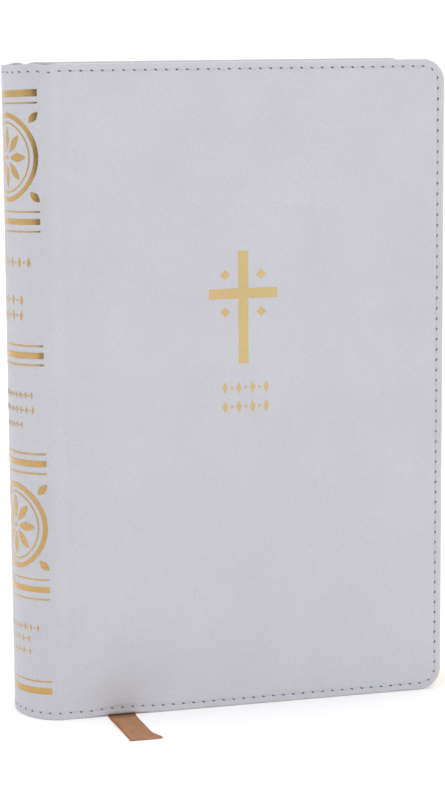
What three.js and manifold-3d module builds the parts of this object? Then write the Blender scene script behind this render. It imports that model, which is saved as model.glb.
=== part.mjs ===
// A thread-sewn bible in a soft white leather case, closed and standing on its tail edge.
// Millimetres, +Z up. The origin is under the middle of the closed book, at the level it stands on.
// The spine faces -X, the front cover faces -Y and the back cover faces +Y.
import * as THREE from "three";
import { mergeVertices } from "three/addons/utils/BufferGeometryUtils.js";
import Module from "manifold-3d";

// Whole book
const HEIGHT = 231;
const WIDTH = 156;
const THICKNESS = 38;
const GAP = 0.3; // between pieces that turn past each other
const LAYER_GAP = 0.05; // between flat layers that lie on each other
const CUT_OVERRUN = 1; // how far a cutting shape runs past the face it cuts

// Case: a leather skin folded round a thin board
const SPINE_BULGE = 14.7; // how far the round spine stands out from the hinges
const COVER_THICKNESS = 2.1;
const SKIN_THICKNESS = 0.9;
const TURN_IN_THICKNESS = 0.5; // the leather folded in over the board
const TURN_IN_WIDTH = 12;
const COVER_CORNER_RADIUS = 8;
const BOARD_EDGE = 1; // the board stops this far inside the leather's edge
const HINGE_STRIP = 4; // bare flexible leather beside the spine, with no board in it
const WINDOW_CORNER_RADIUS = 1;
const ENDPAPER_THICKNESS = 0.25; // the pastedown glued in each cover, and the free flyleaf facing it
const PASTEDOWN_MARGIN = 3;
const FRONT_COVER_LIFT = 0.45; // the ribbon runs out under the front cover

// Spine
const SPINE_LEATHER_THICKNESS = 1;
const SPINE_INLAY_THICKNESS = 0.6;
const SPINE_INLAY_MARGIN = 2.5; // the inlay's ends stop short of the leather's
const SEWN_BACK_BULGE = 8; // rounding of the folded, glued backs of the sections
const MULL_THICKNESS = 0.25;
const MULL_MARGIN = 12;
const LINING_THICKNESS = 0.4;

// Text block
const SQUARE = 3; // how far the covers stand out past the pages
const SECTION_COUNT = 8;
const FRONT_SECTIONS = 3; // sections that turn with the front cover, and as many with the back cover
const RIBBON_SLOT = 0.5; // parting between the sections where the ribbon lies
const SECTION_GAP = 0.1;
const FORE_EDGE_HOLLOW = 4; // depth of the concave fore edge
const PAGE_CORNER_RADIUS = 5;
const BAND_WIDTH = 1.8;
const BAND_HEIGHT = 1.5;

// Ribbon marker
const RIBBON_WIDTH = 10;
const RIBBON_THICKNESS = 0.3;
const RIBBON_X = -43; // where it leaves the pages at the tail
const RIBBON_HEAD_X = -57; // where it starts at the head
const RIBBON_REACH = -50.3; // where its free end lies, in front of the book

const ARC_STEPS = 24;
const FORE_EDGE_STEPS = 4;
const RIBBON_STEPS = 40;
const hingeX = SPINE_BULGE - WIDTH / 2;
const foreX = WIDTH / 2;
const faceY = THICKNESS / 2;
const spineX = hingeX - GAP;
const spineDepth = SPINE_BULGE - GAP;
const flyleafDepth = COVER_THICKNESS + LAYER_GAP + ENDPAPER_THICKNESS + SECTION_GAP;
const blockY = faceY - flyleafDepth - ENDPAPER_THICKNESS - SECTION_GAP;
const sectionThickness =
  (2 * blockY - RIBBON_SLOT - (SECTION_COUNT - 2) * SECTION_GAP) / SECTION_COUNT;

const finish = {
  leather: { color: 0xdcdbe0, roughness: 0.55, metalness: 0 },
  board: { color: 0xb9aa8f, roughness: 0.9, metalness: 0 },
  endpaper: { color: 0xf1eee6, roughness: 0.85, metalness: 0 },
  pages: { color: 0xd9b45c, roughness: 0.4, metalness: 0.3 },
  cloth: { color: 0xe8e2d2, roughness: 0.95, metalness: 0 },
  glue: { color: 0xe6dfc6, roughness: 0.5, metalness: 0 },
  band: { color: 0xf3efe4, roughness: 0.7, metalness: 0 },
  ribbon: { color: 0xb98a66, roughness: 0.4, metalness: 0 },
};

const book = new THREE.Group();

function addPiece(name, geometry, look) {
  const piece = new THREE.Mesh(geometry, new THREE.MeshStandardMaterial(finish[look]));
  piece.name = name;
  book.add(piece);
}

// A plan outline carried straight up from one height to another.
function upright(plan, low, high) {
  const geometry = new THREE.ExtrudeGeometry(plan, {
    depth: high - low,
    bevelEnabled: false,
    curveSegments: ARC_STEPS,
  });
  return geometry.translate(0, 0, low);
}

// A flat layer of one cover, with its two fore-edge corners rounded. It lies between two depths,
// measured in from the book's outer face, on the front (side -1) or the back (side 1).
function panel({ left, right, low, high, radius, side, outer, inner }) {
  const far = Math.max(side * (faceY - outer), side * (faceY - inner));
  const outline = new THREE.Shape();
  outline.moveTo(left, low);
  outline.lineTo(right - radius, low);
  outline.absarc(right - radius, low + radius, radius, -Math.PI / 2, 0);
  outline.lineTo(right, high - radius);
  outline.absarc(right - radius, high - radius, radius, 0, Math.PI / 2);
  outline.lineTo(left, high);
  outline.closePath();
  const geometry = new THREE.ExtrudeGeometry(outline, {
    depth: inner - outer,
    bevelEnabled: false,
    curveSegments: ARC_STEPS / 3,
  });
  return geometry.rotateX(Math.PI / 2).translate(0, far, 0);
}

// Half of an oval ring, open towards the pages.
function halfRing(depth, halfWidth, thickness) {
  const plan = new THREE.Shape();
  plan.absellipse(spineX, 0, depth, halfWidth, Math.PI / 2, (3 * Math.PI) / 2, false);
  const inner = halfWidth - thickness;
  plan.lineTo(spineX, -inner);
  plan.absellipse(spineX, 0, depth - thickness, inner, (3 * Math.PI) / 2, Math.PI / 2, true);
  plan.closePath();
  return plan;
}

const wasm = await Module();
wasm.setup();

function toSolid(geometry) {
  const bare = geometry.clone();
  bare.deleteAttribute("normal");
  bare.deleteAttribute("uv");
  const merged = mergeVertices(bare, 1e-4);
  return new wasm.Manifold(
    new wasm.Mesh({
      numProp: 3,
      vertProperties: new Float32Array(merged.attributes.position.array),
      triVerts: new Uint32Array(merged.index.array),
    }),
  );
}

function toGeometry(solid) {
  const mesh = solid.getMesh();
  const geometry = new THREE.BufferGeometry();
  geometry.setAttribute("position", new THREE.BufferAttribute(mesh.vertProperties, 3));
  geometry.setIndex(new THREE.BufferAttribute(mesh.triVerts, 1));
  return geometry;
}

// A cover's leather: a rounded panel folded in round the board's four sides. The turned-in margin
// leaves a window that the endpaper closes, and the strip beside the spine is bare leather.
function coverLeather(side, low) {
  const body = panel({
    left: hingeX,
    right: foreX,
    low,
    high: HEIGHT,
    radius: COVER_CORNER_RADIUS,
    side,
    outer: 0,
    inner: COVER_THICKNESS,
  });
  const pocket = panel({
    left: hingeX + HINGE_STRIP,
    right: foreX - BOARD_EDGE,
    low: low + BOARD_EDGE,
    high: HEIGHT - BOARD_EDGE,
    radius: COVER_CORNER_RADIUS - BOARD_EDGE,
    side,
    outer: SKIN_THICKNESS,
    inner: COVER_THICKNESS - TURN_IN_THICKNESS,
  });
  const pageWindow = panel({
    left: hingeX + HINGE_STRIP + TURN_IN_WIDTH / 2,
    right: foreX - TURN_IN_WIDTH,
    low: low + TURN_IN_WIDTH,
    high: HEIGHT - TURN_IN_WIDTH,
    radius: WINDOW_CORNER_RADIUS,
    side,
    outer: COVER_THICKNESS - TURN_IN_THICKNESS - LAYER_GAP,
    inner: COVER_THICKNESS + CUT_OVERRUN,
  });
  const strip = panel({
    left: hingeX - CUT_OVERRUN,
    right: hingeX + HINGE_STRIP - BOARD_EDGE,
    low: low - CUT_OVERRUN,
    high: HEIGHT + CUT_OVERRUN,
    radius: LAYER_GAP,
    side,
    outer: SKIN_THICKNESS,
    inner: COVER_THICKNESS + CUT_OVERRUN,
  });
  return toGeometry(
    toSolid(body)
      .subtract(toSolid(pocket))
      .subtract(toSolid(pageWindow))
      .subtract(toSolid(strip)),
  );
}

function coverBoard(side, low) {
  return panel({
    left: hingeX + HINGE_STRIP + LAYER_GAP,
    right: foreX - BOARD_EDGE - LAYER_GAP,
    low: low + BOARD_EDGE + LAYER_GAP,
    high: HEIGHT - BOARD_EDGE - LAYER_GAP,
    radius: COVER_CORNER_RADIUS - BOARD_EDGE,
    side,
    outer: SKIN_THICKNESS + LAYER_GAP,
    inner: COVER_THICKNESS - TURN_IN_THICKNESS - LAYER_GAP,
  });
}

function pastedown(side, low) {
  const outer = COVER_THICKNESS + LAYER_GAP;
  return panel({
    left: hingeX + HINGE_STRIP,
    right: foreX - PASTEDOWN_MARGIN,
    low: low + PASTEDOWN_MARGIN,
    high: HEIGHT - PASTEDOWN_MARGIN,
    radius: COVER_CORNER_RADIUS - PASTEDOWN_MARGIN,
    side,
    outer,
    inner: outer + ENDPAPER_THICKNESS,
  });
}

function flyleaf(side) {
  return panel({
    left: hingeX + GAP,
    right: foreX - SQUARE,
    low: SQUARE,
    high: HEIGHT - SQUARE,
    radius: PAGE_CORNER_RADIUS,
    side,
    outer: flyleafDepth,
    inner: flyleafDepth + ENDPAPER_THICKNESS,
  });
}

// One folded and sewn section of leaves, with its own slice of the hollow fore edge.
function sectionGeometry(front, back) {
  const foreEdge = (y) => foreX - SQUARE - FORE_EDGE_HOLLOW * (1 - (y / blockY) ** 2);
  const plan = new THREE.Shape();
  plan.moveTo(hingeX + GAP, front);
  for (let i = 0; i <= FORE_EDGE_STEPS; i += 1) {
    const y = front + ((back - front) * i) / FORE_EDGE_STEPS;
    plan.lineTo(foreEdge(y), y);
  }
  plan.lineTo(hingeX + GAP, back);
  plan.closePath();
  return upright(plan, SQUARE, HEIGHT - SQUARE);
}

// Case
for (const [name, side, low] of [
  ["front", -1, FRONT_COVER_LIFT],
  ["back", 1, 0],
]) {
  addPiece(name + "_cover_leather", coverLeather(side, low), "leather");
  addPiece(name + "_cover_board", coverBoard(side, low), "board");
  addPiece(name + "_pastedown", pastedown(side, low), "endpaper");
  addPiece(name + "_flyleaf", flyleaf(side), "endpaper");
}
addPiece(
  "spine_leather",
  upright(halfRing(spineDepth, faceY, SPINE_LEATHER_THICKNESS), 0, HEIGHT),
  "leather",
);
const inlayOffset = SPINE_LEATHER_THICKNESS + LAYER_GAP;
addPiece(
  "spine_inlay",
  upright(
    halfRing(spineDepth - inlayOffset, faceY - inlayOffset, SPINE_INLAY_THICKNESS),
    SPINE_INLAY_MARGIN,
    HEIGHT - SPINE_INLAY_MARGIN,
  ),
  "board",
);

// Text block
let front = -blockY;
let ribbonY = 0;
for (let number = 1; number <= SECTION_COUNT; number += 1) {
  addPiece("page_section_" + number, sectionGeometry(front, front + sectionThickness), "pages");
  front += sectionThickness;
  if (number === FRONT_SECTIONS) {
    ribbonY = front + RIBBON_SLOT / 2;
    front += RIBBON_SLOT;
  } else {
    front += SECTION_GAP;
  }
}

const backPlan = new THREE.Shape();
backPlan.absellipse(spineX, 0, SEWN_BACK_BULGE, blockY, Math.PI / 2, (3 * Math.PI) / 2, false);
backPlan.closePath();
addPiece("sewn_back", upright(backPlan, SQUARE, HEIGHT - SQUARE), "glue");
const mullDepth = SEWN_BACK_BULGE + MULL_THICKNESS + LAYER_GAP;
const mullHalfWidth = blockY + MULL_THICKNESS + LAYER_GAP;
addPiece(
  "mull_cloth",
  upright(halfRing(mullDepth, mullHalfWidth, MULL_THICKNESS), MULL_MARGIN, HEIGHT - MULL_MARGIN),
  "cloth",
);
const liningGrowth = LINING_THICKNESS + LAYER_GAP;
addPiece(
  "spine_lining",
  upright(
    halfRing(mullDepth + liningGrowth, mullHalfWidth + liningGrowth, LINING_THICKNESS),
    SQUARE,
    HEIGHT - SQUARE,
  ),
  "endpaper",
);
const bandPlan = halfRing(SEWN_BACK_BULGE, blockY, BAND_WIDTH);
const headLow = HEIGHT - SQUARE + LAYER_GAP;
addPiece("head_band", upright(bandPlan, headLow, headLow + BAND_HEIGHT), "band");
const tailHigh = SQUARE - LAYER_GAP;
addPiece("tail_band", upright(bandPlan, tailHigh - BAND_HEIGHT, tailHigh), "band");

// Ribbon marker: it slants down between the leaves from the back's head, and its tail comes out
// under the front cover.
const sideX = RIBBON_WIDTH / 2;
const slant = new THREE.Shape();
slant.moveTo(RIBBON_X - sideX, SQUARE);
slant.lineTo(RIBBON_X + sideX, SQUARE);
slant.lineTo(RIBBON_HEAD_X + sideX, HEIGHT - SQUARE);
slant.lineTo(RIBBON_HEAD_X - sideX, HEIGHT - SQUARE);
slant.closePath();
const strip = new THREE.ExtrudeGeometry(slant, { depth: RIBBON_THICKNESS, bevelEnabled: false });
strip.rotateX(Math.PI / 2).translate(0, ribbonY + RIBBON_THICKNESS / 2, 0);
addPiece("ribbon_marker", strip, "ribbon");
const lyingZ = RIBBON_THICKNESS / 2 + LAYER_GAP;
const route = new THREE.CatmullRomCurve3(
  [
    [ribbonY, SQUARE - GAP],
    [ribbonY - 0.1, 1.9],
    [ribbonY - 0.45, 1],
    [ribbonY - 1.15, 0.42],
    [ribbonY - 2.2, 0.24],
    [ribbonY - 3.6, lyingZ],
    [ribbonY - 6, lyingZ],
    [ribbonY - 10, lyingZ],
    [-faceY, lyingZ],
    [-faceY - 6, lyingZ],
    [-faceY - 12, lyingZ],
    [-faceY - 18, lyingZ],
    [-faceY - 24, lyingZ],
    [RIBBON_REACH, lyingZ],
  ].map(([y, z]) => new THREE.Vector3(RIBBON_X, y, z)),
  false,
  "centripetal",
);
// The woven ribbon's section is flat, with its edges eased.
const sideZ = RIBBON_THICKNESS / 2;
const ease = RIBBON_THICKNESS / 3;
const ribbonSection = new THREE.Shape(
  [
    [-sideX, ease - sideZ],
    [ease - sideX, -sideZ],
    [sideX - ease, -sideZ],
    [sideX, ease - sideZ],
    [sideX, sideZ - ease],
    [sideX - ease, sideZ],
    [ease - sideX, sideZ],
    [-sideX, sideZ - ease],
  ].map(([x, z]) => new THREE.Vector2(x, z)),
);
addPiece(
  "ribbon_tail",
  new THREE.ExtrudeGeometry(ribbonSection, {
    steps: RIBBON_STEPS,
    extrudePath: route,
    bevelEnabled: false,
  }),
  "ribbon",
);

export default book;
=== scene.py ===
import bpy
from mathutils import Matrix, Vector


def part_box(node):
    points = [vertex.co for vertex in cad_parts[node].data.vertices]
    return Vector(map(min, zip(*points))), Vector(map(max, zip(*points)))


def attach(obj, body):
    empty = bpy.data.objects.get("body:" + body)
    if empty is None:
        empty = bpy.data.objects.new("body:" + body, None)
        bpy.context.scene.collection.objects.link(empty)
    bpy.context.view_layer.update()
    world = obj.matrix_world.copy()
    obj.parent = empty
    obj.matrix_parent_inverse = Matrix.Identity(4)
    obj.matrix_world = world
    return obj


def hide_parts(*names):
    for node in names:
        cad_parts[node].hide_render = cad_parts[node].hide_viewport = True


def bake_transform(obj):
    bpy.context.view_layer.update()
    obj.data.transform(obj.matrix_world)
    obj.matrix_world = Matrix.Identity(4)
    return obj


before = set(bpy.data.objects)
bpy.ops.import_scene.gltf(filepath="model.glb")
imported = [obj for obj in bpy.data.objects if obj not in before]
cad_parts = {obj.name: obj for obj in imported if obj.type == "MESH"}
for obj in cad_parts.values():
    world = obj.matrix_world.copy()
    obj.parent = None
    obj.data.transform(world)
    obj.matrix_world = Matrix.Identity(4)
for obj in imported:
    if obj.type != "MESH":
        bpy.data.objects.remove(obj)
"""A thread-sewn bible in a soft white leather case, standing closed with its ribbon run out in front.

Lengths are metres in the frame's own axes: +Z up the spine, +X to the fore edge, the front faces -Y.
The case is modelled flat, as a binder cuts it, and then wrapped round the pages. A flat place is
(u, depth, z): u runs along the outer skin from the spine's middle, positive over the front cover,
depth goes in from the outer skin, and z is the height.
"""

import bisect
import logging
import math
from dataclasses import dataclass, field
from enum import Enum
from typing import Callable, Iterable, Sequence

import bpy
from mathutils import Matrix, Vector

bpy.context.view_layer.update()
MM = 0.001
SAME = 1e-6  # two coordinates closer than this are one
SQUARE = math.pi / 2
LOG = logging.getLogger("bible")

Piece = bpy.types.Object
Material = bpy.types.Material
Socket = bpy.types.NodeSocket
Colour = tuple[float, float, float]
Pair = tuple[float, float]
SeamPlace = tuple[float, float, float]
Rule = Callable[[Vector], Vector]
Pick = Callable[[Vector, Vector], bool]


# ---------------------------------------------------------------- sizes from the frame


class Side(Enum):
    """Which cover a piece belongs to; the value is the sign of u, and minus the sign of Y."""

    FRONT = 1
    BACK = -1

    @property
    def word(self) -> str:
        """The side's name as the frame's bodies spell it."""
        return self.name.lower()


@dataclass(frozen=True)
class BookSizes:
    """The closed book's main sizes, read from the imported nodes."""

    hinge_x: float
    fore_x: float
    face_y: float
    height: float
    lift: float
    cover_thickness: float
    spine_depth: float
    page_low: float
    page_high: float
    page_fore_x: float
    block_y: float
    ribbon_y: float

    @classmethod
    def from_frame(cls) -> "BookSizes":
        """Reads the sizes off the boxes of the nodes that set them.

        Returns:
            The book's sizes in metres.
        """
        low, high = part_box("front_cover_leather")
        spine_low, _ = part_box("spine_leather")
        page_low, page_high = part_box("page_section_1")
        ribbon_low, ribbon_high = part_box("ribbon_marker")
        return cls(
            hinge_x=low.x,
            fore_x=high.x,
            face_y=-low.y,
            height=high.z,
            lift=low.z,
            cover_thickness=high.y - low.y,
            spine_depth=low.x - spine_low.x,
            page_low=page_low.z,
            page_high=page_high.z,
            page_fore_x=page_high.x,
            block_y=-page_low.y,
            ribbon_y=(ribbon_low.y + ribbon_high.y) / 2,
        )


class Wrap:
    """Carries a flat place onto the closed book: round the oval spine and flat over the covers."""

    STEPS = 360

    def __init__(self, sizes: BookSizes) -> None:
        """Measures the oval's arc once.

        Args:
            sizes: The closed book's sizes.
        """
        self.sizes = sizes
        self.angles = [i * SQUARE / self.STEPS for i in range(self.STEPS + 1)]
        self.arcs = [0.0]
        for a, b in zip(self.angles, self.angles[1:]):
            self.arcs.append(self.arcs[-1] + math.dist(self._on_oval(a), self._on_oval(b)))
        self.quarter = self.arcs[-1]
        self.reach = self.quarter + sizes.fore_x - sizes.hinge_x

    def _on_oval(self, angle: float) -> Pair:
        """The oval's point at an angle from the spine's middle, as x and how far it is to the side."""
        s = self.sizes
        return s.hinge_x - s.spine_depth * math.cos(angle), s.face_y * math.sin(angle)

    def angle_at(self, arc: float) -> float:
        """Finds the oval's angle at a distance along its arc.

        Args:
            arc: Distance from the spine's middle.

        Returns:
            The angle in radians.
        """
        i = min(max(bisect.bisect_left(self.arcs, arc), 1), self.STEPS)
        share = (arc - self.arcs[i - 1]) / (self.arcs[i] - self.arcs[i - 1])
        return self.angles[i - 1] + share * (self.angles[i] - self.angles[i - 1])

    def place(self, u: float, depth: float, z: float) -> Vector:
        """Carries one flat place onto the book.

        Args:
            u: Distance along the outer skin from the spine's middle, positive over the front.
            depth: Distance in from the outer skin.
            z: Height.

        Returns:
            The place in the frame's axes.
        """
        s, side, arc = self.sizes, (1 if u >= 0 else -1), abs(u)
        if arc >= self.quarter:
            return Vector((s.hinge_x + arc - self.quarter, -side * (s.face_y - depth), z))
        angle = self.angle_at(arc)
        x, y = self._on_oval(angle)
        out = Vector((-math.cos(angle) / s.spine_depth, math.sin(angle) / s.face_y)).normalized()
        return Vector((x - out.x * depth, -side * (y - out.y * depth), z))

    def u_of(self, x: float, side: Side) -> float:
        """The flat u of a place x on a cover."""
        return side.value * (self.quarter + x - self.sizes.hinge_x)


# ---------------------------------------------------------------- modelling helpers


class Bench:
    """Small modelling steps on Blender's own operators, shared by every sub-assembly."""

    @staticmethod
    def start() -> None:
        """Leaves nothing selected, in object mode."""
        if bpy.context.object and bpy.context.object.mode != "OBJECT":
            bpy.ops.object.mode_set(mode="OBJECT")
        bpy.ops.object.select_all(action="DESELECT")

    @staticmethod
    def block(name: str, low: Sequence[float], high: Sequence[float]) -> Piece:
        """Adds a block between two corners, with its place in its mesh.

        Args:
            name: The new object's name.
            low: The lowest corner.
            high: The highest corner.

        Returns:
            The new object, selected and active.
        """
        Bench.start()
        low, high = Vector(low), Vector(high)
        bpy.ops.mesh.primitive_cube_add(size=1, location=(low + high) / 2, scale=high - low)
        return Bench.settle(name)

    @staticmethod
    def settle(name: str) -> Piece:
        """Names the active object and moves its place and size into its mesh.

        Args:
            name: The object's name.

        Returns:
            The object.
        """
        piece = bpy.context.object
        piece.name = piece.data.name = name
        bpy.ops.object.transform_apply(location=True, rotation=True, scale=True)
        return piece

    @staticmethod
    def take(piece: Piece) -> None:
        """Makes a piece the only selected one, and the active one.

        Args:
            piece: The piece to work on.
        """
        Bench.start()
        piece.select_set(True)
        bpy.context.view_layer.objects.active = piece

    @staticmethod
    def clear_picks(piece: Piece, kind: str = "FACE") -> None:
        """Deselects all of a piece's mesh and leaves it in object mode, ready to be picked from.

        Args:
            piece: The piece.
            kind: What will be picked: VERT, EDGE or FACE.
        """
        Bench.take(piece)
        bpy.ops.object.mode_set(mode="EDIT")
        bpy.ops.mesh.select_mode(type=kind)
        bpy.ops.mesh.select_all(action="DESELECT")
        bpy.ops.object.mode_set(mode="OBJECT")

    @staticmethod
    def open_all(piece: Piece) -> None:
        """Opens a piece in edit mode with all of it selected.

        Args:
            piece: The piece to open.
        """
        Bench.clear_picks(piece)
        bpy.ops.object.mode_set(mode="EDIT")
        bpy.ops.mesh.select_all(action="SELECT")

    @staticmethod
    def pick_faces(piece: Piece, test: Pick) -> None:
        """Selects the faces that pass a test, and goes into edit mode.

        Args:
            piece: The piece.
            test: Takes a face's centre and normal, and says whether it is picked.
        """
        Bench.clear_picks(piece)
        for f in piece.data.polygons:
            f.select = test(f.center, f.normal)
        bpy.ops.object.mode_set(mode="EDIT")

    @staticmethod
    def round_edges(piece: Piece, test: Pick, radius: float, segments: int) -> None:
        """Rounds the edges that pass a test.

        Args:
            piece: The piece.
            test: Takes an edge's two ends, and says whether it is rounded.
            radius: How far the rounding reaches.
            segments: How many facets it has.
        """
        Bench.clear_picks(piece, "EDGE")
        points = piece.data.vertices
        for e in piece.data.edges:
            e.select = test(points[e.vertices[0]].co, points[e.vertices[1]].co)
        bpy.ops.object.mode_set(mode="EDIT")
        bpy.ops.mesh.bevel(offset=radius, segments=segments, affect="EDGES")
        Bench.done()

    @staticmethod
    def face_out(piece: Piece) -> None:
        """Turns every face of a closed piece to look outward.

        Args:
            piece: The piece.
        """
        Bench.open_all(piece)
        bpy.ops.mesh.normals_make_consistent(inside=False)
        Bench.done()

    @staticmethod
    def done() -> None:
        """Leaves edit mode."""
        bpy.ops.object.mode_set(mode="OBJECT")

    @staticmethod
    def slice(piece: Piece, axis: int, places: Iterable[float]) -> None:
        """Cuts a mesh along planes across one axis, which gives it rows to bend along.

        Args:
            piece: The piece to cut.
            axis: 0, 1 or 2.
            places: Where each plane crosses the axis.
        """
        Bench.open_all(piece)
        normal = Vector((0, 0, 0))
        normal[axis] = 1
        for place in places:
            bpy.ops.mesh.select_all(action="SELECT")
            bpy.ops.mesh.bisect(plane_co=normal * place, plane_no=normal)
        Bench.done()

    @staticmethod
    def trim(piece: Piece, axis: int, place: float, keep_high: bool) -> None:
        """Cuts a piece at a plane, drops one half and closes the cut with a face.

        Args:
            piece: The piece to cut.
            axis: 0, 1 or 2.
            place: Where the plane crosses the axis.
            keep_high: Whether the half on the axis's high side stays.
        """
        Bench.open_all(piece)
        normal = Vector((0, 0, 0))
        normal[axis] = 1
        bpy.ops.mesh.bisect(
            plane_co=normal * place,
            plane_no=normal,
            use_fill=True,
            clear_inner=keep_high,
            clear_outer=not keep_high,
        )
        Bench.done()

    @staticmethod
    def copy(piece: Piece, name: str) -> Piece:
        """Copies a piece with a mesh of its own.

        Args:
            piece: The piece to copy.
            name: The copy's name.

        Returns:
            The copy.
        """
        twin = piece.copy()
        twin.data = piece.data.copy()
        twin.name = twin.data.name = name
        bpy.context.scene.collection.objects.link(twin)
        return twin

    @staticmethod
    def join(name: str, pieces: Sequence[Piece]) -> Piece:
        """Joins pieces into one object.

        Args:
            name: The joined object's name.
            pieces: The pieces; the first keeps its object.

        Returns:
            The joined object.
        """
        Bench.start()
        for piece in pieces:
            piece.select_set(True)
        bpy.context.view_layer.objects.active = pieces[0]
        bpy.ops.object.join()
        joined = bpy.context.object
        joined.name = joined.data.name = name
        return joined

    @staticmethod
    def smooth(piece: Piece, degrees: float) -> None:
        """Shades a piece smooth, except at edges sharper than an angle.

        Args:
            piece: The piece.
            degrees: The angle.
        """
        Bench.take(piece)
        bpy.ops.object.shade_smooth_by_angle(angle=math.radians(degrees))

    @staticmethod
    def thicken(piece: Piece, thickness: float) -> None:
        """Gives a flat piece its thickness, half to each side.

        Args:
            piece: The piece.
            thickness: Its thickness.
        """
        Bench.take(piece)
        modifier = piece.modifiers.new("Thickness", "SOLIDIFY")
        modifier.thickness = thickness
        modifier.offset = 0
        bpy.ops.object.modifier_apply(modifier=modifier.name)

    @staticmethod
    def note_places(piece: Piece, place: Rule | None = None) -> None:
        """Keeps places as the attribute lay, which patterns read however the piece bends later.

        Args:
            piece: The piece.
            place: A rule from a point to the place it keeps, or None to keep its own.
        """
        lay = piece.data.attributes.new("lay", "FLOAT_VECTOR", "POINT")
        for value, point in zip(lay.data, piece.data.vertices):
            value.vector = place(point.co) if place else point.co

    @staticmethod
    def shape(piece: Piece, move: Rule) -> None:
        """Moves every point of a piece by a rule.

        Args:
            piece: The piece.
            move: The rule, from a point to where it goes.
        """
        for point in piece.data.vertices:
            point.co = move(point.co.copy())
        piece.data.update()

    @staticmethod
    def scatter(name: str, unit: Piece, places: Sequence[Rule]) -> Piece:
        """Repeats a small unit, each copy with points of its own, and removes the unit.

        Args:
            name: The new piece's name.
            unit: The modelled unit, at the origin.
            places: One rule a copy, from the unit's point to the copy's.

        Returns:
            One object that holds every copy.
        """
        points = [v.co.copy() for v in unit.data.vertices]
        faces = [list(p.vertices) for p in unit.data.polygons]
        all_points: list[Vector] = []
        all_faces: list[list[int]] = []
        for place in places:
            first = len(all_points)
            all_points += [place(p) for p in points]
            all_faces += [[first + i for i in f] for f in faces]
        mesh = bpy.data.meshes.new(name)
        mesh.from_pydata(all_points, [], all_faces)
        piece = bpy.data.objects.new(name, mesh)
        bpy.context.scene.collection.objects.link(piece)
        bpy.data.objects.remove(unit)
        return piece


def spread(low: float, high: float, step: float) -> list[float]:
    """Spaces places evenly between two ends, without the ends themselves.

    Args:
        low: The low end.
        high: The high end.
        step: The widest gap that is allowed.

    Returns:
        The places, in rising order.
    """
    count = max(1, math.ceil((high - low) / step))
    return [low + (high - low) * i / count for i in range(1, count)]


def ease(t: float) -> float:
    """A smooth step that rises from 0 to 1 as t does."""
    t = min(1.0, max(0.0, t))
    return t * t * (3 - 2 * t)


def along_y(a: Vector, b: Vector) -> bool:
    """Whether an edge between two points runs straight through, from front to back."""
    return abs(a.x - b.x) < SAME and abs(a.z - b.z) < SAME


# ---------------------------------------------------------------- finishes


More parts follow.
